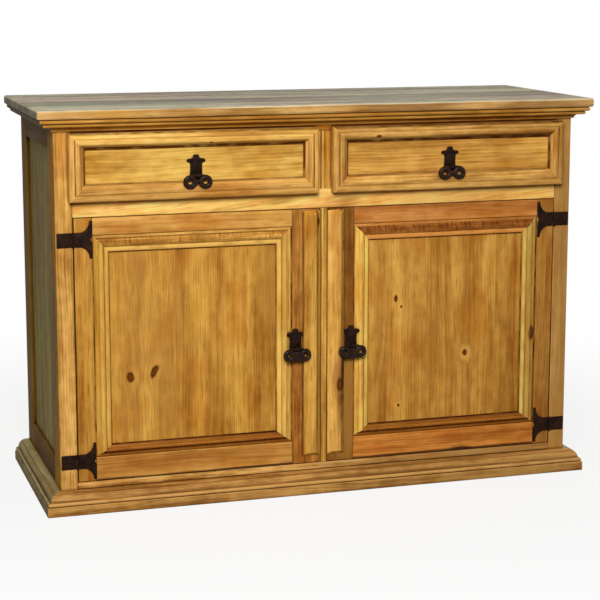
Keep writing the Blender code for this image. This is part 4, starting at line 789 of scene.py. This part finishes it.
post_outline = [(0.0, 0.0148), (0.034, 0.0148), (0.034, -0.0148), (0.0, -0.0148), (0.0, -0.0058), (0.0036, -0.0058),
                (0.0036, 0.0058), (0.0, 0.0058)]
tail = [(0.0, 0.0055), (0.0036, 0.0055), (0.0036, 0.015)] + arc((0.0125, 0.039), (0.021, 0.024), -90, 0, 10)
tail += [(0.039, 0.039), (0.039, 0.007)]
tail += [(0.0355, 0.0)] + [(u, -z) for u, z in reversed(tail)]
for side_name, side in (("left", -1), ("right", 1)):
    for place, height in HINGE_HEIGHTS.items():
        x = side * HINGE_X
        shape = bmesh.new()
        sheet_iron(shape, [(x + side * u, height + z) for u, z in hand_cut(post_outline)], LEAF_BACK, LEAF_THICKNESS)
        for end in (-1, 1):
            knuckle(shape, x, *sorted((height + end * 0.0058, height + end * 0.0148)))
        iron_piece(f"post_{side_name}_{place}_hinge", shape, iron, "carcass", f"post_{side_name}_{place}_hinge_leaf")
        shape = bmesh.new()
        sheet_iron(shape, [(x - side * u, height + z) for u, z in hand_cut(tail)], LEAF_BACK, LEAF_THICKNESS)
        knuckle(shape, x, height - 0.0055, height + 0.0055)
        iron_piece(f"door_{side_name}_{place}_hinge", shape, iron, f"door_{side_name}",
                   f"door_{side_name}_{place}_hinge_leaf")


# Drop pulls: a cross of sheet iron with a raised middle and a strap eye, and a ring of two lobes that
# swings in the eye and shines where hands have rubbed it. The door rings have a flat web between the lobes.
handled_iron = forged_iron("hand-rubbed wrought iron", 0.22, 0.40, 0.14)
PULLS = {
    "door_left": (-0.0625, FRONT, 0.318), "door_right": (0.0625, FRONT, 0.318),
    "drawer_left": (-0.28075, DRAWER_FACE, 0.6998), "drawer_right": (0.28075, DRAWER_FACE, 0.6998),
}
EYE_REACH = 0.015
half_plate = [(0.0030, -0.0170), (0.0085, -0.0145), (0.0120, -0.008), (0.0132, 0.0), (0.0125, 0.012), (0.0128, 0.0245)]
half_plate += [(0.0160, 0.0262)] + arc((0.0165, 0.0296), (0.0034, 0.0034), -70, 80, 6)
half_plate += [(0.0085, 0.0345), (0.0068, 0.0355), (0.0060, 0.0400), (0.0045, 0.042)]
plate_outline = half_plate + [(-u, z) for u, z in reversed(half_plate)]
for name, (x, face, height) in PULLS.items():
    back = face - 0.0003
    eye_y = back - EYE_REACH
    shape = bmesh.new()
    sheet_iron(shape, [(x + u, height + z) for u, z in hand_cut(plate_outline)], back, 0.002)
    rounds = [(math.cos(math.radians(t)), math.sin(math.radians(t))) for t in range(0, 90, 15)]
    boss = [[shape.verts.new((x + 0.0095 * r * math.cos(2 * math.pi * j / 24), back - 0.0014 - 0.0028 * up,
                              height + 0.015 + 0.0145 * r * math.sin(2 * math.pi * j / 24))) for j in range(24)]
            for r, up in rounds]
    for one, other in zip(boss, boss[1:]):
        for j in range(24):
            shape.faces.new((one[j], one[(j + 1) % 24], other[(j + 1) % 24], other[j]))
    shape.faces.new(boss[0])
    shape.faces.new(boss[-1])
    strap = [(back - 0.001, height - 0.0042)] + arc((eye_y, height), (0.0042, 0.0042), 270, 90, 14)
    strap += [(back - 0.001, height + 0.0042), (back - 0.001, height + 0.0027)]
    strap += arc((eye_y, height), (0.0027, 0.0027), 90, 270, 14) + [(back - 0.001, height - 0.0027)]
    wide = [[shape.verts.new((x + end * 0.003, y, z)) for y, z in strap] for end in (-1, 1)]
    for j in range(len(strap)):
        k = (j + 1) % len(strap)
        shape.faces.new((wide[0][j], wide[0][k], wide[1][k], wide[1][j]))
    shape.faces.new(wide[0])
    shape.faces.new(wide[1])
    iron_piece(f"{name}_pull_cross", shape, iron, name, f"{name}_pull_plate")
    shape = bmesh.new()
    round_bar(shape, [(x - 0.014, eye_y, height), (x, eye_y, height), (x + 0.014, eye_y, height)], 0.0022)
    lobe_out, lobe_radii, wire = (0.0180, (0.0083, 0.0087), 0.0047) if "door" in name else (0.0162, (0.0098, 0.0096), 0.0050)
    for end in (-1, 1):
        loop = arc((x + end * lobe_out, height - 0.013), lobe_radii, 0, 360, 40)[:-1]
        round_bar(shape, [(u, eye_y, z) for u, z in loop], wire, closed=True)
    if "door" in name:
        web = [(x + u, height + z) for u, z in ((-0.011, -0.0052), (0.011, -0.0052), (0.017, -0.0262), (-0.017, -0.0262))]
        sheet_iron(shape, hand_cut(web), eye_y + 0.002, 0.004)
    else:
        round_bar(shape, [(x + u, eye_y, height - 0.012) for u in (-0.006, 0.0, 0.006)], wire)
    iron_piece(f"{name}_pull_drop", shape, handled_iron, f"{name}_pull", f"{name}_pull_ring")


# Nails: hand-made nails with low domed heads, two through each post leaf, three through each fishtail
# and two through the arms of each pull plate.
def nail_tree():
    """Sets a domed head on every point of a mesh."""
    tree = bpy.data.node_groups.new("nail heads", "GeometryNodeTree")
    for label, kind in (("Places", "Geometry"), ("Head radius", "Float"), ("Head height", "Float"), ("Iron", "Material")):
        tree.interface.new_socket(label, in_out="INPUT", socket_type="NodeSocket" + kind)
    tree.interface.new_socket("Nails", in_out="OUTPUT", socket_type="NodeSocketGeometry")
    given = put(tree, "NodeGroupInput").outputs
    head = put(tree, "GeometryNodeMeshUVSphere", {"Segments": 12, "Rings": 8, "Radius": 1.0}).outputs[0]
    size = put(tree, "ShaderNodeCombineXYZ", {0: given["Head radius"], 1: given["Head height"], 2: given["Head radius"]}).outputs[0]
    head = put(tree, "GeometryNodeTransform", {"Geometry": head, "Scale": size}).outputs[0]
    heads = put(tree, "GeometryNodeInstanceOnPoints", {"Points": given["Places"], "Instance": head}).outputs[0]
    heads = put(tree, "GeometryNodeRealizeInstances", {0: heads}).outputs[0]
    heads = put(tree, "GeometryNodeSetMaterial", {0: heads, "Material": given["Iron"]}).outputs[0]
    put(tree, "NodeGroupOutput", {0: heads})
    return tree


nail_heads = nail_tree()
nails = {"carcass": [], "door_left": [], "door_right": [], "drawer_left": [], "drawer_right": []}
leaf_face = LEAF_BACK - LEAF_THICKNESS
for side_name, side in (("left", -1), ("right", 1)):
    for height in HINGE_HEIGHTS.values():
        nails["carcass"] += [(side * (HINGE_X + u), leaf_face, height) for u in (0.013, 0.027)]
        nails[f"door_{side_name}"] += [(side * (HINGE_X - u), leaf_face, height + z)
                                       for u, z in ((0.014, 0.0), (0.0345, 0.027), (0.0345, -0.027))]
for name, (x, face, height) in PULLS.items():
    nails[name] += [(x + u, face - 0.0023, height + 0.030) for u in (-0.0125, 0.0125)]
for body, places in nails.items():
    base = bpy.data.meshes.new(body + "_nail_places")
    base.from_pydata(places, [], [])
    mesh = run_tree(plain_piece(body + "_nail_places", base), nail_heads,
                    {"Head radius": 0.0030, "Head height": 0.0016, "Iron": iron})
    mesh.shade_smooth()
    piece = plain_piece(body + "_nails", mesh)
    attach(piece, body)


# Stage: a pale floor that keeps the shadow, under a white surround. A big soft lamp stands in front and a
# little to the left, so the front is brighter on that side and the ends of the cabinet stay dim.
def surround_share(tree):
    """One for rays that show the surround itself: seen straight, mirrored or through glass."""
    rays = put(tree, "ShaderNodeLightPath").outputs
    shown = put(tree, "ShaderNodeMath", {0: rays["Is Camera Ray"], 1: rays["Is Glossy Ray"]}, operation="MAXIMUM").outputs[0]
    return put(tree, "ShaderNodeMath", {0: shown, 1: rays["Is Transmission Ray"]}, operation="MAXIMUM").outputs[0]


world = bpy.data.worlds.new("white surround")
bpy.context.scene.world = world
world.use_nodes = True
sky = world.node_tree
sky.nodes.clear()
fill = put(sky, "ShaderNodeBackground", {"Color": linear("#fffaf2"), "Strength": 0.26}).outputs[0]
white = put(sky, "ShaderNodeBackground", {"Color": (1, 1, 1, 1), "Strength": 1.0}).outputs[0]
both = put(sky, "ShaderNodeMixShader", {0: surround_share(sky), 1: fill, 2: white}).outputs[0]
put(sky, "ShaderNodeOutputWorld", {0: both})

floor_mesh = bpy.data.meshes.new("floor")
floor_mesh.from_pydata([(-40, -40, -0.0005), (40, -40, -0.0005), (40, 40, -0.0005), (-40, 40, -0.0005)], [], [(0, 1, 2, 3)])
floor = plain_piece("floor", floor_mesh)
paper = bpy.data.materials.new("white paper sweep")
paper.use_nodes = True
tree = paper.node_tree
tree.nodes.clear()
matt = put(tree, "ShaderNodeBsdfDiffuse", {"Color": linear("#ececec")}).outputs[0]
glow = put(tree, "ShaderNodeEmission", {"Color": (1, 1, 1, 1), "Strength": surround_share(tree)}).outputs[0]
spot = put(tree, "ShaderNodeVectorMath", {0: put(tree, "ShaderNodeTexCoord").outputs["Object"]},
           operation="ABSOLUTE").outputs[0]
far = put(tree, "ShaderNodeVectorMath", {0: spot}, operation="LENGTH").outputs["Value"]
outside = put(tree, "ShaderNodeMapRange", {0: far, 1: 0.7, 2: 1.9, 3: 0.17, 4: 0.0},
              interpolation_type="SMOOTHSTEP").outputs[0]
reach = put(tree, "ShaderNodeVectorMath", {0: spot, 1: (edge_x, -edge_y, 1.0)}, operation="DIVIDE").outputs[0]
reach = put(tree, "ShaderNodeSeparateXYZ", {0: reach}).outputs
under = put(tree, "ShaderNodeMath", {0: reach[0], 1: reach[1]}, operation="MAXIMUM").outputs[0]
share = put(tree, "ShaderNodeMapRange", {0: under, 1: 0.97, 2: 1.0, 3: 1.0, 4: outside}).outputs[0]
lit = put(tree, "ShaderNodeMixShader", {0: share, 1: glow, 2: matt}).outputs[0]
put(tree, "ShaderNodeOutputMaterial", {0: lit})
floor_mesh.materials.append(paper)

for name, place, size, watts in (("front lamp", (-0.95, -2.9, 2.0), 1.3, 96.0), ("back lamp", (1.5, 2.4, 0.40), 0.8, 34.0)):
    lamp = bpy.data.lights.new(name, "AREA")
    lamp.shape = "DISK"
    lamp.size = size
    lamp.energy = watts
    stand = bpy.data.objects.new(name, lamp)
    bpy.context.scene.collection.objects.link(stand)
    stand.location = place
    stand.visible_camera = False
    stand.rotation_euler = (Vector((0.0, 0.0, 0.45)) - Vector(place)).to_track_quat("-Z", "Y").to_euler()

lens = bpy.data.cameras.new("camera")
lens.sensor_width = 36.0
lens.lens = 105.34
lens.shift_y = -0.06
lens.clip_end = 200.0
eye = bpy.data.objects.new("camera", lens)
bpy.context.scene.collection.objects.link(eye)
eye.location = (-1.1407, -3.7182, 1.1146)
eye.rotation_euler = (math.radians(90 - 9.484), 0.0, math.radians(-17.201))
bpy.context.scene.camera = eye
bpy.context.scene.view_settings.view_transform = "Standard"
